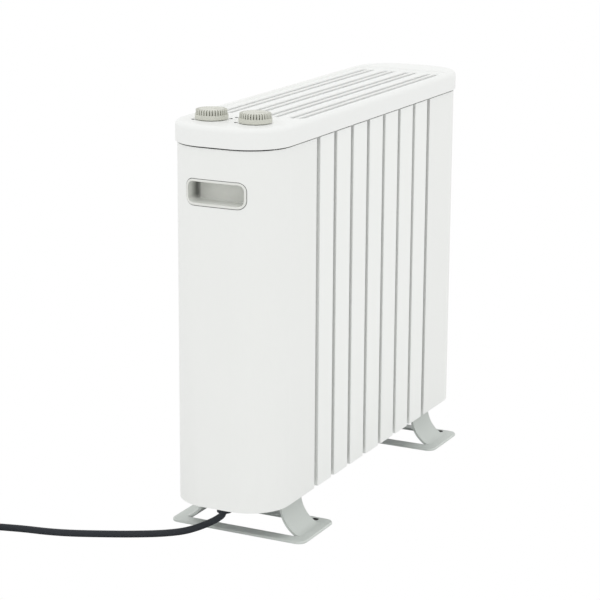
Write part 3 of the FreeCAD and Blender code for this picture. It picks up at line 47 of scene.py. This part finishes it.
backward = Vector((math.sin(azimuth) * math.cos(elevation), -math.cos(azimuth) * math.cos(elevation),
                   math.sin(elevation)))
level_right = Vector((0, 0, 1)).cross(backward).normalized()
level_up = backward.cross(level_right)
right = level_right * math.cos(roll) + level_up * math.sin(roll)
up = level_up * math.cos(roll) - level_right * math.sin(roll)
lens = bpy.data.cameras.new("photo_lens")
lens.sensor_width = sensor_width
lens.lens = sensor_width * focal_pixels / picture_pixels
lens.clip_start, lens.clip_end = 0.1, 50.0
camera = bpy.data.objects.new("photo_camera", lens)
camera.matrix_world = Matrix((right, up, backward)).transposed().to_4x4()
camera.location = camera_aim + backward * camera_distance
bpy.context.scene.collection.objects.link(camera)
bpy.context.scene.camera = camera


# Studio
# A white table in an even white tent, as for a catalogue picture, with one wide lamp over the lid.
# The table is burnt out to paper white where it is seen, and gives plain daylight back to what stands on it.

tent_strength = 1.065
lamp_place, lamp_aim, lamp_size, lamp_power = Vector((-0.9, -0.5, 2.6)), Vector((0, 0, 0.3)), 1.6, 2.5
table_reach, paper_white = 12.0, (0.88, 0.88, 0.88, 1.0)

bpy.context.scene.view_settings.view_transform = "Standard"
tent = bpy.data.worlds.new("white_tent")
tent.use_nodes = True
tent_cloth = tent.node_tree.nodes["Background"]
tent_cloth.inputs["Color"].default_value = (1.0, 1.0, 1.0, 1.0)
tent_cloth.inputs["Strength"].default_value = tent_strength
bpy.context.scene.world = tent

lamp = bpy.data.lights.new("top_softbox", "AREA")
lamp.shape, lamp.size, lamp.energy = "DISK", lamp_size, lamp_power
lamp_holder = bpy.data.objects.new("top_softbox", lamp)
lamp_holder.location = lamp_place
lamp_holder.rotation_euler = (lamp_aim - lamp_place).to_track_quat("-Z", "Y").to_euler()
bpy.context.scene.collection.objects.link(lamp_holder)

table_mesh = bpy.data.meshes.new("lit_table")
table_corners = [(x * table_reach, y * table_reach, 0) for x, y in ((-1, -1), (1, -1), (1, 1), (-1, 1))]
table_mesh.from_pydata(table_corners, [], [(0, 1, 2, 3)])
lit_table = bpy.data.objects.new("lit_table", table_mesh)
bpy.context.scene.collection.objects.link(lit_table)
lit_paper = bpy.data.materials.new("lit_paper")
lit_paper.use_nodes = True
paper_nodes, paper_links = lit_paper.node_tree.nodes, lit_paper.node_tree.links
paper_shader = paper_nodes["Principled BSDF"]
paper_shader.inputs["Base Color"].default_value = paper_white
paper_shader.inputs["Specular IOR Level"].default_value = 0.0
paper_shader.inputs["Roughness"].default_value = 0.9
burnt_out = paper_nodes.new("ShaderNodeEmission")
burnt_out.inputs["Strength"].default_value = 1.0
path_of_light = paper_nodes.new("ShaderNodeLightPath")
seen_paper = paper_nodes.new("ShaderNodeMixShader")
paper_links.new(path_of_light.outputs["Is Camera Ray"], seen_paper.inputs["Fac"])
paper_links.new(paper_shader.outputs["BSDF"], seen_paper.inputs[1])
paper_links.new(burnt_out.outputs["Emission"], seen_paper.inputs[2])
paper_links.new(seen_paper.outputs["Shader"], paper_nodes["Material Output"].inputs["Surface"])
table_mesh.materials.append(lit_paper)


# Base plate, bulkheads and control bracket
# Zinc-plated sheet, punched and folded, that carries everything inside; the bulkheads stand on folded feet.
# Bare zinc shows a faint patchwork of grains and fine lines from the rolling.

def new_group(name, inputs, outputs):
    """An empty shader group with named sockets; a socket is its name, kind and starting value."""
    tree = bpy.data.node_groups.new(name, "ShaderNodeTree")
    for label, kind, value in inputs:
        socket = tree.interface.new_socket(label, in_out="INPUT", socket_type="NodeSocket" + kind)
        socket.default_value = value
    for label, kind in outputs:
        tree.interface.new_socket(label, in_out="OUTPUT", socket_type="NodeSocket" + kind)
    return tree, tree.nodes.new("NodeGroupInput"), tree.nodes.new("NodeGroupOutput")


def cloudy_tint_group():
    """A slow drift between two colours, as a dye or a coat of paint has over a large face."""
    tree, source, result = new_group(
        "cloudy_tint",
        [("Light", "Color", (0.8, 0.8, 0.8, 1)), ("Dark", "Color", (0.7, 0.7, 0.7, 1)),
         ("Size", "Float", 12.0)],
        [("Colour", "Color")])
    place = tree.nodes.new("ShaderNodeTexCoord")
    drift = tree.nodes.new("ShaderNodeTexNoise")
    drift.inputs["Detail"].default_value = 4.0
    blend = tree.nodes.new("ShaderNodeMix")
    blend.data_type = "RGBA"
    tree.links.new(place.outputs["Object"], drift.inputs["Vector"])
    tree.links.new(source.outputs["Size"], drift.inputs["Scale"])
    tree.links.new(drift.outputs["Fac"], blend.inputs["Factor"])
    tree.links.new(source.outputs["Light"], blend.inputs["A"])
    tree.links.new(source.outputs["Dark"], blend.inputs["B"])
    tree.links.new(blend.outputs["Result"], result.inputs["Colour"])
    return tree


def fine_grain_group():
    """The small uneven skin of a moulding or a coat: a roughness that wanders and a height for the bump."""
    tree, source, result = new_group(
        "fine_grain",
        [("Size", "Float", 900.0), ("Stretch", "Vector", (1, 1, 1)), ("Smooth", "Float", 0.4),
         ("Rough", "Float", 0.5)],
        [("Roughness", "Float"), ("Height", "Float")])
    place = tree.nodes.new("ShaderNodeTexCoord")
    stretch = tree.nodes.new("ShaderNodeMapping")
    grain = tree.nodes.new("ShaderNodeTexNoise")
    grain.inputs["Detail"].default_value = 3.0
    span = tree.nodes.new("ShaderNodeMapRange")
    tree.links.new(place.outputs["Object"], stretch.inputs["Vector"])
    tree.links.new(source.outputs["Stretch"], stretch.inputs["Scale"])
    tree.links.new(stretch.outputs["Vector"], grain.inputs["Vector"])
    tree.links.new(source.outputs["Size"], grain.inputs["Scale"])
    tree.links.new(grain.outputs["Fac"], span.inputs["Value"])
    tree.links.new(source.outputs["Smooth"], span.inputs["To Min"])
    tree.links.new(source.outputs["Rough"], span.inputs["To Max"])
    tree.links.new(span.outputs["Result"], result.inputs["Roughness"])
    tree.links.new(grain.outputs["Fac"], result.inputs["Height"])
    return tree


def rubbed_edge_group():
    """A mask along sharp edges, broken up by noise, where handling rubs a surface."""
    flat_turn, sharp_turn, patch_size = 0.995, 0.85, 60.0
    tree, source, result = new_group(
        "rubbed_edge", [("Width", "Float", 0.001), ("Strength", "Float", 1.0)], [("Mask", "Float")])
    rounded = tree.nodes.new("ShaderNodeBevel")
    rounded.samples = 4
    shape = tree.nodes.new("ShaderNodeNewGeometry")
    turn = tree.nodes.new("ShaderNodeVectorMath")
    turn.operation = "DOT_PRODUCT"
    edge = tree.nodes.new("ShaderNodeMapRange")
    edge.inputs["From Min"].default_value = flat_turn
    edge.inputs["From Max"].default_value = sharp_turn
    place = tree.nodes.new("ShaderNodeTexCoord")
    patches = tree.nodes.new("ShaderNodeTexNoise")
    patches.inputs["Scale"].default_value = patch_size
    broken = tree.nodes.new("ShaderNodeMath")
    broken.operation = "MULTIPLY"
    amount = tree.nodes.new("ShaderNodeMath")
    amount.operation = "MULTIPLY"
    amount.use_clamp = True
    tree.links.new(source.outputs["Width"], rounded.inputs["Radius"])
    tree.links.new(rounded.outputs["Normal"], turn.inputs[0])
    tree.links.new(shape.outputs["Normal"], turn.inputs[1])
    tree.links.new(turn.outputs["Value"], edge.inputs["Value"])
    tree.links.new(place.outputs["Object"], patches.inputs["Vector"])
    tree.links.new(edge.outputs["Result"], broken.inputs[0])
    tree.links.new(patches.outputs["Fac"], broken.inputs[1])
    tree.links.new(broken.outputs["Value"], amount.inputs[0])
    tree.links.new(source.outputs["Strength"], amount.inputs[1])
    tree.links.new(amount.outputs["Value"], result.inputs["Mask"])
    return tree


def crevice_shading_mask_group():
    """A mask in narrow gaps and inner corners, where light hardly reaches, by which finishes paint shade and
    light.
    """
    quite_closed = 0.1
    tree, source, result = new_group(
        "crevice_shading_mask", [("Reach", "Float", 0.005), ("Open", "Float", 0.55), ("Strength", "Float", 1.0)],
        [("Mask", "Float")])
    gap = tree.nodes.new("ShaderNodeAmbientOcclusion")
    gap.samples = 8
    closed = tree.nodes.new("ShaderNodeMapRange")
    closed.inputs["From Max"].default_value = quite_closed
    amount = tree.nodes.new("ShaderNodeMath")
    amount.operation = "MULTIPLY"
    amount.use_clamp = True
    tree.links.new(source.outputs["Reach"], gap.inputs["Distance"])
    tree.links.new(source.outputs["Open"], closed.inputs["From Min"])
    tree.links.new(gap.outputs["AO"], closed.inputs["Value"])
    tree.links.new(closed.outputs["Result"], amount.inputs[0])
    tree.links.new(source.outputs["Strength"], amount.inputs[1])
    tree.links.new(amount.outputs["Value"], result.inputs["Mask"])
    return tree


cloudy_tint, fine_grain = cloudy_tint_group(), fine_grain_group()
rubbed_edge, crevice_shading_mask = rubbed_edge_group(), crevice_shading_mask_group()


def placed(material, tree, **values):
    """A shader group in a material, with its own values."""
    node = material.node_tree.nodes.new("ShaderNodeGroup")
    node.node_tree = tree
    for label, value in values.items():
        node.inputs[label].default_value = value
    return node


def surface(name, light, dark, cloud, grain, smooth, rough, bump, worn, wear, stretch=(1, 1, 1), metallic=0.0,
            shine=0.5, reach=0.005, still_open=0.55, crevice_shading=0.6, crevice_shading_colour=None):
    """A finish with drifting colour, a fine grain, rubbed edges and painted shade in its crevices, which
    turns into painted light where a pale crevice colour is given.
    """
    edge_width, grain_height, painted_shade_share = 0.0008, 0.0002, 0.12
    # By default the crevice colour is a small share of the dark colour, so gaps and inner corners get painted
    # shade.
    crevice_shading_colour = crevice_shading_colour or [painted_shade_share * part for part in dark]
    material = bpy.data.materials.new(name)
    material.use_nodes = True
    nodes, links = material.node_tree.nodes, material.node_tree.links
    shader = nodes["Principled BSDF"]
    shader.inputs["Metallic"].default_value = metallic
    shader.inputs["Specular IOR Level"].default_value = shine
    tint = placed(material, cloudy_tint, Light=(*light, 1), Dark=(*dark, 1), Size=cloud)
    skin = placed(material, fine_grain, Size=grain, Stretch=stretch, Smooth=smooth, Rough=rough)
    rub = placed(material, rubbed_edge, Width=edge_width, Strength=wear)
    blend = nodes.new("ShaderNodeMix")
    blend.data_type = "RGBA"
    blend.inputs["B"].default_value = (*worn, 1)
    # The colour is mixed towards the crevice colour where little light reaches: painted shade where that
    # colour is dark, painted light where it is pale.
    crevice = placed(material, crevice_shading_mask, Reach=reach, Open=still_open, Strength=crevice_shading)
    crevice_shading_mix = nodes.new("ShaderNodeMix")
    crevice_shading_mix.data_type = "RGBA"
    crevice_shading_mix.inputs["B"].default_value = (*crevice_shading_colour, 1)
    relief = nodes.new("ShaderNodeBump")
    relief.inputs["Strength"].default_value = bump
    relief.inputs["Distance"].default_value = grain_height
    links.new(rub.outputs["Mask"], blend.inputs["Factor"])
    links.new(tint.outputs["Colour"], blend.inputs["A"])
    links.new(blend.outputs["Result"], crevice_shading_mix.inputs["A"])
    links.new(crevice.outputs["Mask"], crevice_shading_mix.inputs["Factor"])
    links.new(crevice_shading_mix.outputs["Result"], shader.inputs["Base Color"])
    links.new(skin.outputs["Roughness"], shader.inputs["Roughness"])
    links.new(skin.outputs["Height"], relief.inputs["Height"])
    links.new(relief.outputs["Normal"], shader.inputs["Normal"])
    return material


def dress(material, *names):
    """Puts one finish on CAD pieces."""
    for name in names:
        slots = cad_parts[name].data.materials
        slots.clear()
        slots.append(material)


zinc_sheet = surface(
    "zinc_sheet", light=(0.62, 0.64, 0.66), dark=(0.5, 0.51, 0.53), cloud=90.0, grain=420.0,
    stretch=(1, 6, 1), smooth=0.28, rough=0.46, bump=0.15, worn=(0.75, 0.76, 0.78), wear=0.7, metallic=1.0)
dress(zinc_sheet, "base_plate", "near_bulkhead", "far_bulkhead", "control_bracket")


# Feet
# Two bent sheet-steel feet, each a windowed plate with two tongues that curl up and are screwed to the base.
# Their light grey powder coat has an orange-peel skin and pale cut edges; the holes' walls are painted near
# black as painted shade.

grey_powder_coat = surface(
    "grey_powder_coat", light=(0.61, 0.645, 0.615), dark=(0.575, 0.61, 0.58), cloud=16.0, grain=700.0,
    smooth=0.38, rough=0.52, bump=0.35, worn=(0.74, 0.76, 0.74), wear=0.9)
dress(grey_powder_coat, "near_foot", "far_foot")


def post_distance_group():
    """How far a point lies, in plan, from four upright lines at the corners of a rectangle."""
    tree, source, result = new_group(
        "post_distance",
        [("Middle", "Vector", (0, 0, 0)), ("Corner", "Vector", (1, 1, 0)), ("Weight", "Vector", (1, 1, 0))],
        [("Distance", "Float")])
    place = tree.nodes.new("ShaderNodeTexCoord")
    steps = []
    for operation in ("SUBTRACT", "ABSOLUTE", "SUBTRACT", "MULTIPLY", "LENGTH"):
        steps.append(tree.nodes.new("ShaderNodeVectorMath"))
        steps[-1].operation = operation
    for earlier, later in zip(steps, steps[1:]):
        tree.links.new(earlier.outputs["Vector"], later.inputs[0])
    from_middle, _, from_corner, weighed, length = steps
    tree.links.new(place.outputs["Object"], from_middle.inputs[0])
    tree.links.new(source.outputs["Middle"], from_middle.inputs[1])
    tree.links.new(source.outputs["Corner"], from_corner.inputs[1])
    tree.links.new(source.outputs["Weight"], weighed.inputs[1])
    tree.links.new(length.outputs["Value"], result.inputs["Distance"])
    return tree


post_distance = post_distance_group()


def ramp(material, value, start, stop, top):
    """A mask that rises from nothing at start to top at stop."""
    span = material.node_tree.nodes.new("ShaderNodeMapRange")
    span.inputs["From Min"].default_value, span.inputs["From Max"].default_value = start, stop
    span.inputs["To Max"].default_value = top
    material.node_tree.links.new(value, span.inputs["Value"])
    return span.outputs["Result"]


def paint_light_and_shade(material, mask, colour):
    """Lays one colour over a finish where a mask says; here it paints light and shade."""
    nodes, links = material.node_tree.nodes, material.node_tree.links
    base = nodes["Principled BSDF"].inputs["Base Color"]
    over = nodes.new("ShaderNodeMix")
    over.data_type = "RGBA"
    over.inputs["B"].default_value = (*colour, 1)
    links.new(base.links[0].from_socket, over.inputs["A"])
    links.new(mask, over.inputs["Factor"])
    links.new(over.outputs["Result"], base)


# Painted shade: the walls of the four holes are painted near black.
foot_holes = placed(grey_powder_coat, post_distance, Middle=(0.0295, 0.0, 0.0), Corner=(0.164, 0.057, 0.0))
painted_hole_shade = ramp(grey_powder_coat, foot_holes.outputs["Distance"], start=0.0038, stop=0.0036, top=1.0)
paint_light_and_shade(grey_powder_coat, painted_hole_shade, colour=(0.06, 0.06, 0.058))


# Screws and nuts
# Plated pan-head screws hold the feet, caps, lid, bracket and bulkheads.
# Two brass nuts hold the controls, and a brass screw holds the earth lead.

plated_steel = surface(
    "plated_steel", light=(0.6, 0.6, 0.61), dark=(0.5, 0.5, 0.52), cloud=200.0, grain=900.0,
    smooth=0.22, rough=0.4, bump=0.1, worn=(0.7, 0.7, 0.7), wear=0.6, metallic=1.0)
yellow_brass = surface(
    "yellow_brass", light=(0.78, 0.6, 0.3), dark=(0.66, 0.49, 0.22), cloud=160.0, grain=800.0,
    smooth=0.25, rough=0.42, bump=0.1, worn=(0.85, 0.7, 0.42), wear=0.6, metallic=1.0)
dress(plated_steel, "foot_screws", "cap_screws", "lid_screws", "bracket_screws", "bulkhead_screws")
dress(yellow_brass, "control_nuts", "earth_screw")


# Heating elements
# Sheathed rods pressed into extruded aluminium stars, carried in white ceramic beads.
# The extrusion's die leaves fine lines along its length, and the rods' ends are tinted by heat.

drawn_aluminium = surface(
    "drawn_aluminium", light=(0.76, 0.77, 0.78), dark=(0.68, 0.69, 0.7), cloud=30.0, grain=260.0,
    stretch=(0.02, 1, 1), smooth=0.26, rough=0.44, bump=0.3, worn=(0.85, 0.85, 0.86), wear=0.6, metallic=1.0)
heat_tinted_steel = surface(
    "heat_tinted_steel", light=(0.46, 0.42, 0.38), dark=(0.3, 0.27, 0.27), cloud=40.0, grain=500.0,
    stretch=(0.1, 1, 1), smooth=0.3, rough=0.5, bump=0.2, worn=(0.56, 0.54, 0.52), wear=0.4, metallic=1.0)
white_ceramic = surface(
    "white_ceramic", light=(0.84, 0.81, 0.74), dark=(0.78, 0.74, 0.66), cloud=120.0, grain=1200.0,
    smooth=0.55, rough=0.75, bump=0.4, worn=(0.88, 0.86, 0.82), wear=0.5)
dress(drawn_aluminium, "lower_element_fins", "upper_element_fins")
dress(heat_tinted_steel, "lower_element_rod", "upper_element_rod")
dress(white_ceramic, "element_beads")
dress(yellow_brass, "neutral_strap")


# Controls, cut-out and terminal block
# Dark heat-proof mouldings with a dull, faintly mottled skin, on the bracket, the near bulkhead and the base.
# The controls' spindles are plated steel, their terminals pressed brass, and the thermostat's pin is ceramic.

dark_moulding = surface(
    "dark_moulding", light=(0.05, 0.05, 0.052), dark=(0.032, 0.032, 0.034), cloud=60.0, grain=1100.0,
    smooth=0.42, rough=0.6, bump=0.3, worn=(0.12, 0.12, 0.12), wear=0.6)
dress(dark_moulding, "thermostat_housing", "power_switch_housing", "thermal_cutout", "terminal_block")
dress(plated_steel, "thermostat_spindle", "power_switch_shaft")
dress(yellow_brass, "thermostat_terminals", "power_switch_terminals", "bimetal_leaf")
dress(white_ceramic, "thermostat_set_pin")


# Inner leads
# Stranded wires that join the terminals, controls and elements, each pushed or clamped on its terminal.
# Their heat-proof braided sleeves are dull, and coloured for what each wire does.

def lead_sleeve(name, light, dark, *nodes):
    """A dull sleeve in one colour on the leads named."""
    dress(surface(name, light, dark, cloud=80.0, grain=1500.0, smooth=0.55, rough=0.72, bump=0.5,
                  worn=light, wear=0.2), *nodes)


lead_sleeve("brown_sleeve", (0.2, 0.09, 0.045), (0.15, 0.065, 0.03),
            "live_lead", "thermostat_lead", "link_lead")
lead_sleeve("blue_sleeve", (0.04, 0.12, 0.42), (0.03, 0.09, 0.33), "neutral_lead")
lead_sleeve("green_sleeve", (0.3, 0.5, 0.08), (0.24, 0.42, 0.06), "earth_lead")
lead_sleeve("white_sleeve", (0.72, 0.7, 0.66), (0.64, 0.62, 0.58),
            "low_heat_lead", "high_heat_lead", "cord_cores")


# Side panels
# White enamelled sheet steel, pressed with upright grooves and slid behind the end caps.
# Enamel is smooth, with a slow waviness and pale thin edges; its grooves are darkened as painted shade.

# Painted shade: the grooves and seams are darkened through the crevice mask.
white_enamel = surface(
    "white_enamel", light=(0.845, 0.858, 0.838), dark=(0.825, 0.838, 0.818), cloud=7.0, grain=240.0,
    stretch=(1, 1, 0.6), smooth=0.3, rough=0.4, bump=0.12, worn=(0.86, 0.87, 0.86), wear=0.7,
    reach=0.012, crevice_shading=0.85)
dress(white_enamel, "front_side_panel", "rear_side_panel")


# End caps and lid
# White injection mouldings with a fine satin texture; the caps wrap the ends and the lid is screwed on top.
# The lid's slots are painted near white as painted light; the caps' seams and corners are darkened as painted
# shade.

# Painted shade: the caps are darkened in their seams and corners.
white_moulding = surface(
    "white_moulding", light=(0.82, 0.83, 0.812), dark=(0.8, 0.81, 0.79), cloud=9.0, grain=1300.0,
    smooth=0.42, rough=0.54, bump=0.25, worn=(0.86, 0.87, 0.86), wear=0.6, reach=0.012, crevice_shading=0.95)
# Painted light: the lid's slots and the rest of its top are mixed towards near white where little light
# reaches.
white_moulding_with_painted_light = surface(
    "white_moulding_with_painted_light", light=(0.83, 0.84, 0.825), dark=(0.81, 0.82, 0.805), cloud=9.0, grain=1300.0,
    smooth=0.42, rough=0.54, bump=0.25, worn=(0.87, 0.88, 0.87), wear=0.6,
    reach=0.008, still_open=1.0, crevice_shading=1.0, crevice_shading_colour=(0.97, 0.975, 0.965))
dress(white_moulding, "near_end_cap", "far_end_cap")
dress(white_moulding_with_painted_light, "lid")


# Handle cups
# Grey moulded inserts with a proud rim, pushed into the end caps so that fingers can lift the heater.
# The deep upright corners are painted dark as painted shade, and faces that look upwards are painted lighter
# as painted light.

# Painted shade: the cups are darkened in their tight corners.
grey_moulding = surface(
    "grey_moulding", light=(0.73, 0.74, 0.705), dark=(0.7, 0.71, 0.67), cloud=24.0, grain=1200.0,
    smooth=0.4, rough=0.52, bump=0.3, worn=(0.76, 0.77, 0.74), wear=0.8,
    reach=0.012, still_open=0.4, crevice_shading=1.0)
dress(grey_moulding, "near_handle_cup", "far_handle_cup")
cup_face = grey_moulding.node_tree.nodes.new("ShaderNodeNewGeometry")
cup_axes = grey_moulding.node_tree.nodes.new("ShaderNodeSeparateXYZ")
grey_moulding.node_tree.links.new(cup_face.outputs["Normal"], cup_axes.inputs["Vector"])
# Painted light: faces that look upwards are painted lighter.
painted_upward_light = ramp(grey_moulding, cup_axes.outputs["Z"], start=0.3, stop=0.9, top=0.6)
paint_light_and_shade(grey_moulding, painted_upward_light, colour=(0.92, 0.93, 0.9))
# Painted shade: the deep upright corners inside the cups are painted near black.
cup_corners = placed(grey_moulding, post_distance, Corner=(0.2192, 0.0303, 0.0), Weight=(0.45, 1.7, 0.0))
painted_corner_shade = ramp(grey_moulding, cup_corners.outputs["Distance"], start=0.0065, stop=0.0015, top=0.8)
paint_light_and_shade(grey_moulding, painted_corner_shade, colour=(0.08, 0.083, 0.075))


# Knobs
# Warm grey mouldings with a smooth skirt, a finely ribbed grip and a pointer line on the crown.
# Each is pushed on its control's shaft and stands just clear of the lid.

# A little painted shade darkens the knobs' tight gaps.
warm_grey_moulding = surface(
    "warm_grey_moulding", light=(0.61, 0.615, 0.55), dark=(0.575, 0.58, 0.515), cloud=30.0, grain=1200.0,
    smooth=0.4, rough=0.52, bump=0.3, worn=(0.72, 0.72, 0.67), wear=0.8, crevice_shading=0.1)
dress(warm_grey_moulding, "thermostat_knob", "power_knob")


# Index marks
# Small dark plastic inlays flush in the lid, a plain triangle and a dot for each knob.
# They are set round the knob and turned to face it.

knob_places = {"thermostat": (-0.203, 0.0238), "power": (-0.203, -0.0238)}
lid_top, mark_depth = 0.42, 0.0006
triangle_radius, dot_radius, dot_sides = 0.0022, 0.0015, 16
mark_ways = [("thermostat", -61, 0.019), ("thermostat", 128, 0.0182),
             ("power", 118, 0.019), ("power", 59, 0.0352)]

mark_points, mark_turns = [], []
for knob, degrees, distance in mark_ways:
    turn = math.radians(degrees)
    mark_points.append((knob_places[knob][0] + distance * math.cos(turn),
                        knob_places[knob][1] + distance * math.sin(turn), lid_top))
    mark_turns.append(turn + math.pi)
mark_mesh = bpy.data.meshes.new("knob_marks")
mark_mesh.from_pydata(mark_points, [], [])
mark_mesh.attributes.new("turn", "FLOAT", "POINT").data.foreach_set("value", mark_turns)
knob_marks = bpy.data.objects.new("knob_marks", mark_mesh)
bpy.context.scene.collection.objects.link(knob_marks)
dark_inlay = surface(
    "dark_inlay", light=(0.045, 0.047, 0.05), dark=(0.035, 0.036, 0.04), cloud=90.0, grain=1300.0,
    smooth=0.45, rough=0.6, bump=0.2, worn=(0.1, 0.1, 0.1), wear=0.4)

marks = bpy.data.node_groups.new("set_marks", "GeometryNodeTree")
marks.interface.new_socket("Points", in_out="INPUT", socket_type="NodeSocketGeometry")
for label in ("Triangle Radius", "Dot Radius", "Depth"):
    marks.interface.new_socket(label, in_out="INPUT", socket_type="NodeSocketFloat")
marks.interface.new_socket("Finish", in_out="INPUT", socket_type="NodeSocketMaterial")
marks.interface.new_socket("Marks", in_out="OUTPUT", socket_type="NodeSocketGeometry")
sizes, outcome = marks.nodes.new("NodeGroupInput"), marks.nodes.new("NodeGroupOutput")
shapes = []
for corners, radius_name in ((3, "Triangle Radius"), (dot_sides, "Dot Radius")):
    prism = marks.nodes.new("GeometryNodeMeshCylinder")
    prism.inputs["Vertices"].default_value = corners
    marks.links.new(sizes.outputs[radius_name], prism.inputs["Radius"])
    marks.links.new(sizes.outputs["Depth"], prism.inputs["Depth"])
    shapes.append(prism)
choice = marks.nodes.new("GeometryNodeGeometryToInstance")
for prism in reversed(shapes):
    marks.links.new(prism.outputs["Mesh"], choice.inputs["Geometry"])
number = marks.nodes.new("GeometryNodeInputIndex")
odd = marks.nodes.new("ShaderNodeMath")
odd.operation = "MODULO"
odd.inputs[1].default_value = 2.0
facing = marks.nodes.new("GeometryNodeInputNamedAttribute")
facing.data_type = "FLOAT"
facing.inputs["Name"].default_value = "turn"
upright = marks.nodes.new("ShaderNodeCombineXYZ")
setting = marks.nodes.new("GeometryNodeInstanceOnPoints")
setting.inputs["Pick Instance"].default_value = True
solid = marks.nodes.new("GeometryNodeRealizeInstances")
coat = marks.nodes.new("GeometryNodeSetMaterial")
marks.links.new(number.outputs["Index"], odd.inputs[0])
marks.links.new(facing.outputs["Attribute"], upright.inputs["Z"])
marks.links.new(sizes.outputs["Points"], setting.inputs["Points"])
marks.links.new(choice.outputs["Instances"], setting.inputs["Instance"])
marks.links.new(odd.outputs["Value"], setting.inputs["Instance Index"])
marks.links.new(upright.outputs["Vector"], setting.inputs["Rotation"])
marks.links.new(setting.outputs["Instances"], solid.inputs["Geometry"])
marks.links.new(solid.outputs["Geometry"], coat.inputs["Geometry"])
marks.links.new(sizes.outputs["Finish"], coat.inputs["Material"])
marks.links.new(coat.outputs["Geometry"], outcome.inputs["Marks"])
setter = knob_marks.modifiers.new("set_marks", "NODES")
setter.node_group = marks
identifiers = {item.name: item.identifier for item in marks.interface.items_tree if item.in_out == "INPUT"}
setter[identifiers["Triangle Radius"]] = triangle_radius
setter[identifiers["Dot Radius"]] = dot_radius
setter[identifiers["Depth"]] = mark_depth
setter[identifiers["Finish"]] = dark_inlay
graph = bpy.context.evaluated_depsgraph_get()
finished_marks = bpy.data.meshes.new_from_object(knob_marks.evaluated_get(graph), depsgraph=graph)
knob_marks.modifiers.remove(setter)
knob_marks.data = finished_marks
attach(knob_marks, "heater")


# Mains lead
# A black rubber-sheathed lead out of the gland under the control end; its spare length is coiled and tied.
# Its line is one smooth curve: the route over the floor, then the coil's turns, inwards and out again on top.

lead_route = [
    (-0.226, -0.0015, 0.042), (-0.226, -0.0015, 0.029), (-0.225, 0.0085, 0.0208), (-0.2235, 0.019, 0.0143),
    (-0.226, 0.030, 0.0088), (-0.233, 0.042, 0.005), (-0.245, 0.060, 0.0036), (-0.261, 0.087, 0.0036),
    (-0.2745, 0.115, 0.0036), (-0.2865, 0.142, 0.0036), (-0.2935, 0.166, 0.0036), (-0.297, 0.188, 0.0036),
    (-0.303, 0.209, 0.0038), (-0.3105, 0.2296, 0.0044), (-0.3195, 0.2494, 0.0052),
]
lead_diameter = 0.007
coil_heading, coil_lead_in = math.radians(118), 0.0168
coil_radius, coil_pitch = 0.0465, 0.0075
inward_halves, all_halves, points_per_turn = 6, 10, 16
line_shrink = 0.98088  # a curve of this kind runs inside its points, so those of the turns stand out
plug_tilt, tail_bend, tail_reach = math.radians(5.5), 0.060, 0.018

coil_forward = Vector((math.cos(coil_heading), math.sin(coil_heading), 0))
coil_outward = Vector((math.sin(coil_heading), -math.cos(coil_heading), 0))
coil_start = Vector(lead_route[-1]) + coil_forward * coil_lead_in
coil_centre = coil_start - coil_outward * coil_radius
for step in range(1, all_halves * points_per_turn // 2):
    halves = 2 * step / points_per_turn
    if halves <= inward_halves:
        radius = coil_radius - halves * coil_pitch / 2
    elif halves <= inward_halves + 1:
        radius = coil_radius - inward_halves * coil_pitch / 2 + (halves - inward_halves) * coil_pitch
    else:
        radius = coil_radius - (all_halves + 1 - halves) * coil_pitch / 2
    climb = min(max(halves - inward_halves + 1, 0), 1)
    height = coil_pitch * climb * climb * (3 - 2 * climb)
    angle = math.pi * halves
    way = coil_outward * math.cos(angle) + coil_forward * math.sin(angle)
    lead_route.append(coil_centre + way * (radius / line_shrink) + Vector((0, 0, height)))
coil_end = coil_centre + coil_outward * (coil_radius - coil_pitch / 2) + Vector((0, 0, coil_pitch))
tail_rise = Vector((0, 0, tail_bend * (1 - math.cos(plug_tilt))))
tail_start = coil_end + coil_forward * tail_bend * math.sin(plug_tilt) + tail_rise
tail_way = coil_forward * math.cos(plug_tilt) + Vector((0, 0, math.sin(plug_tilt)))
lead_route += [coil_end, tail_start, tail_start + tail_way * tail_reach]

lead_line = bpy.data.curves.new("mains_lead", "CURVE")
lead_line.dimensions = "3D"
lead_line.bevel_depth = lead_diameter / 2
lead_line.bevel_resolution = 5
lead_line.resolution_u = 8
lead_line.use_fill_caps = True
spline = lead_line.splines.new("NURBS")
spline.points.add(len(lead_route) - 1)
for point, place in zip(spline.points, lead_route):
    point.co = (*place, 1.0)
spline.order_u = 3
spline.use_endpoint_u = True
mains_lead = bpy.data.objects.new("mains_lead", lead_line)
bpy.context.scene.collection.objects.link(mains_lead)
black_rubber = surface(
    "black_rubber", light=(0.029, 0.033, 0.039), dark=(0.022, 0.025, 0.03), cloud=70.0, grain=1400.0,
    smooth=0.5, rough=0.66, bump=0.4, worn=(0.06, 0.06, 0.065), wear=0.3, shine=0.18)
lead_line.materials.append(black_rubber)
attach(mains_lead, "heater")
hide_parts("mains_cord", "cord_coil")
dress(black_rubber, "cable_gland", "plug_body")
dress(dark_moulding, "cord_tie")
dress(yellow_brass, "plug_pins")
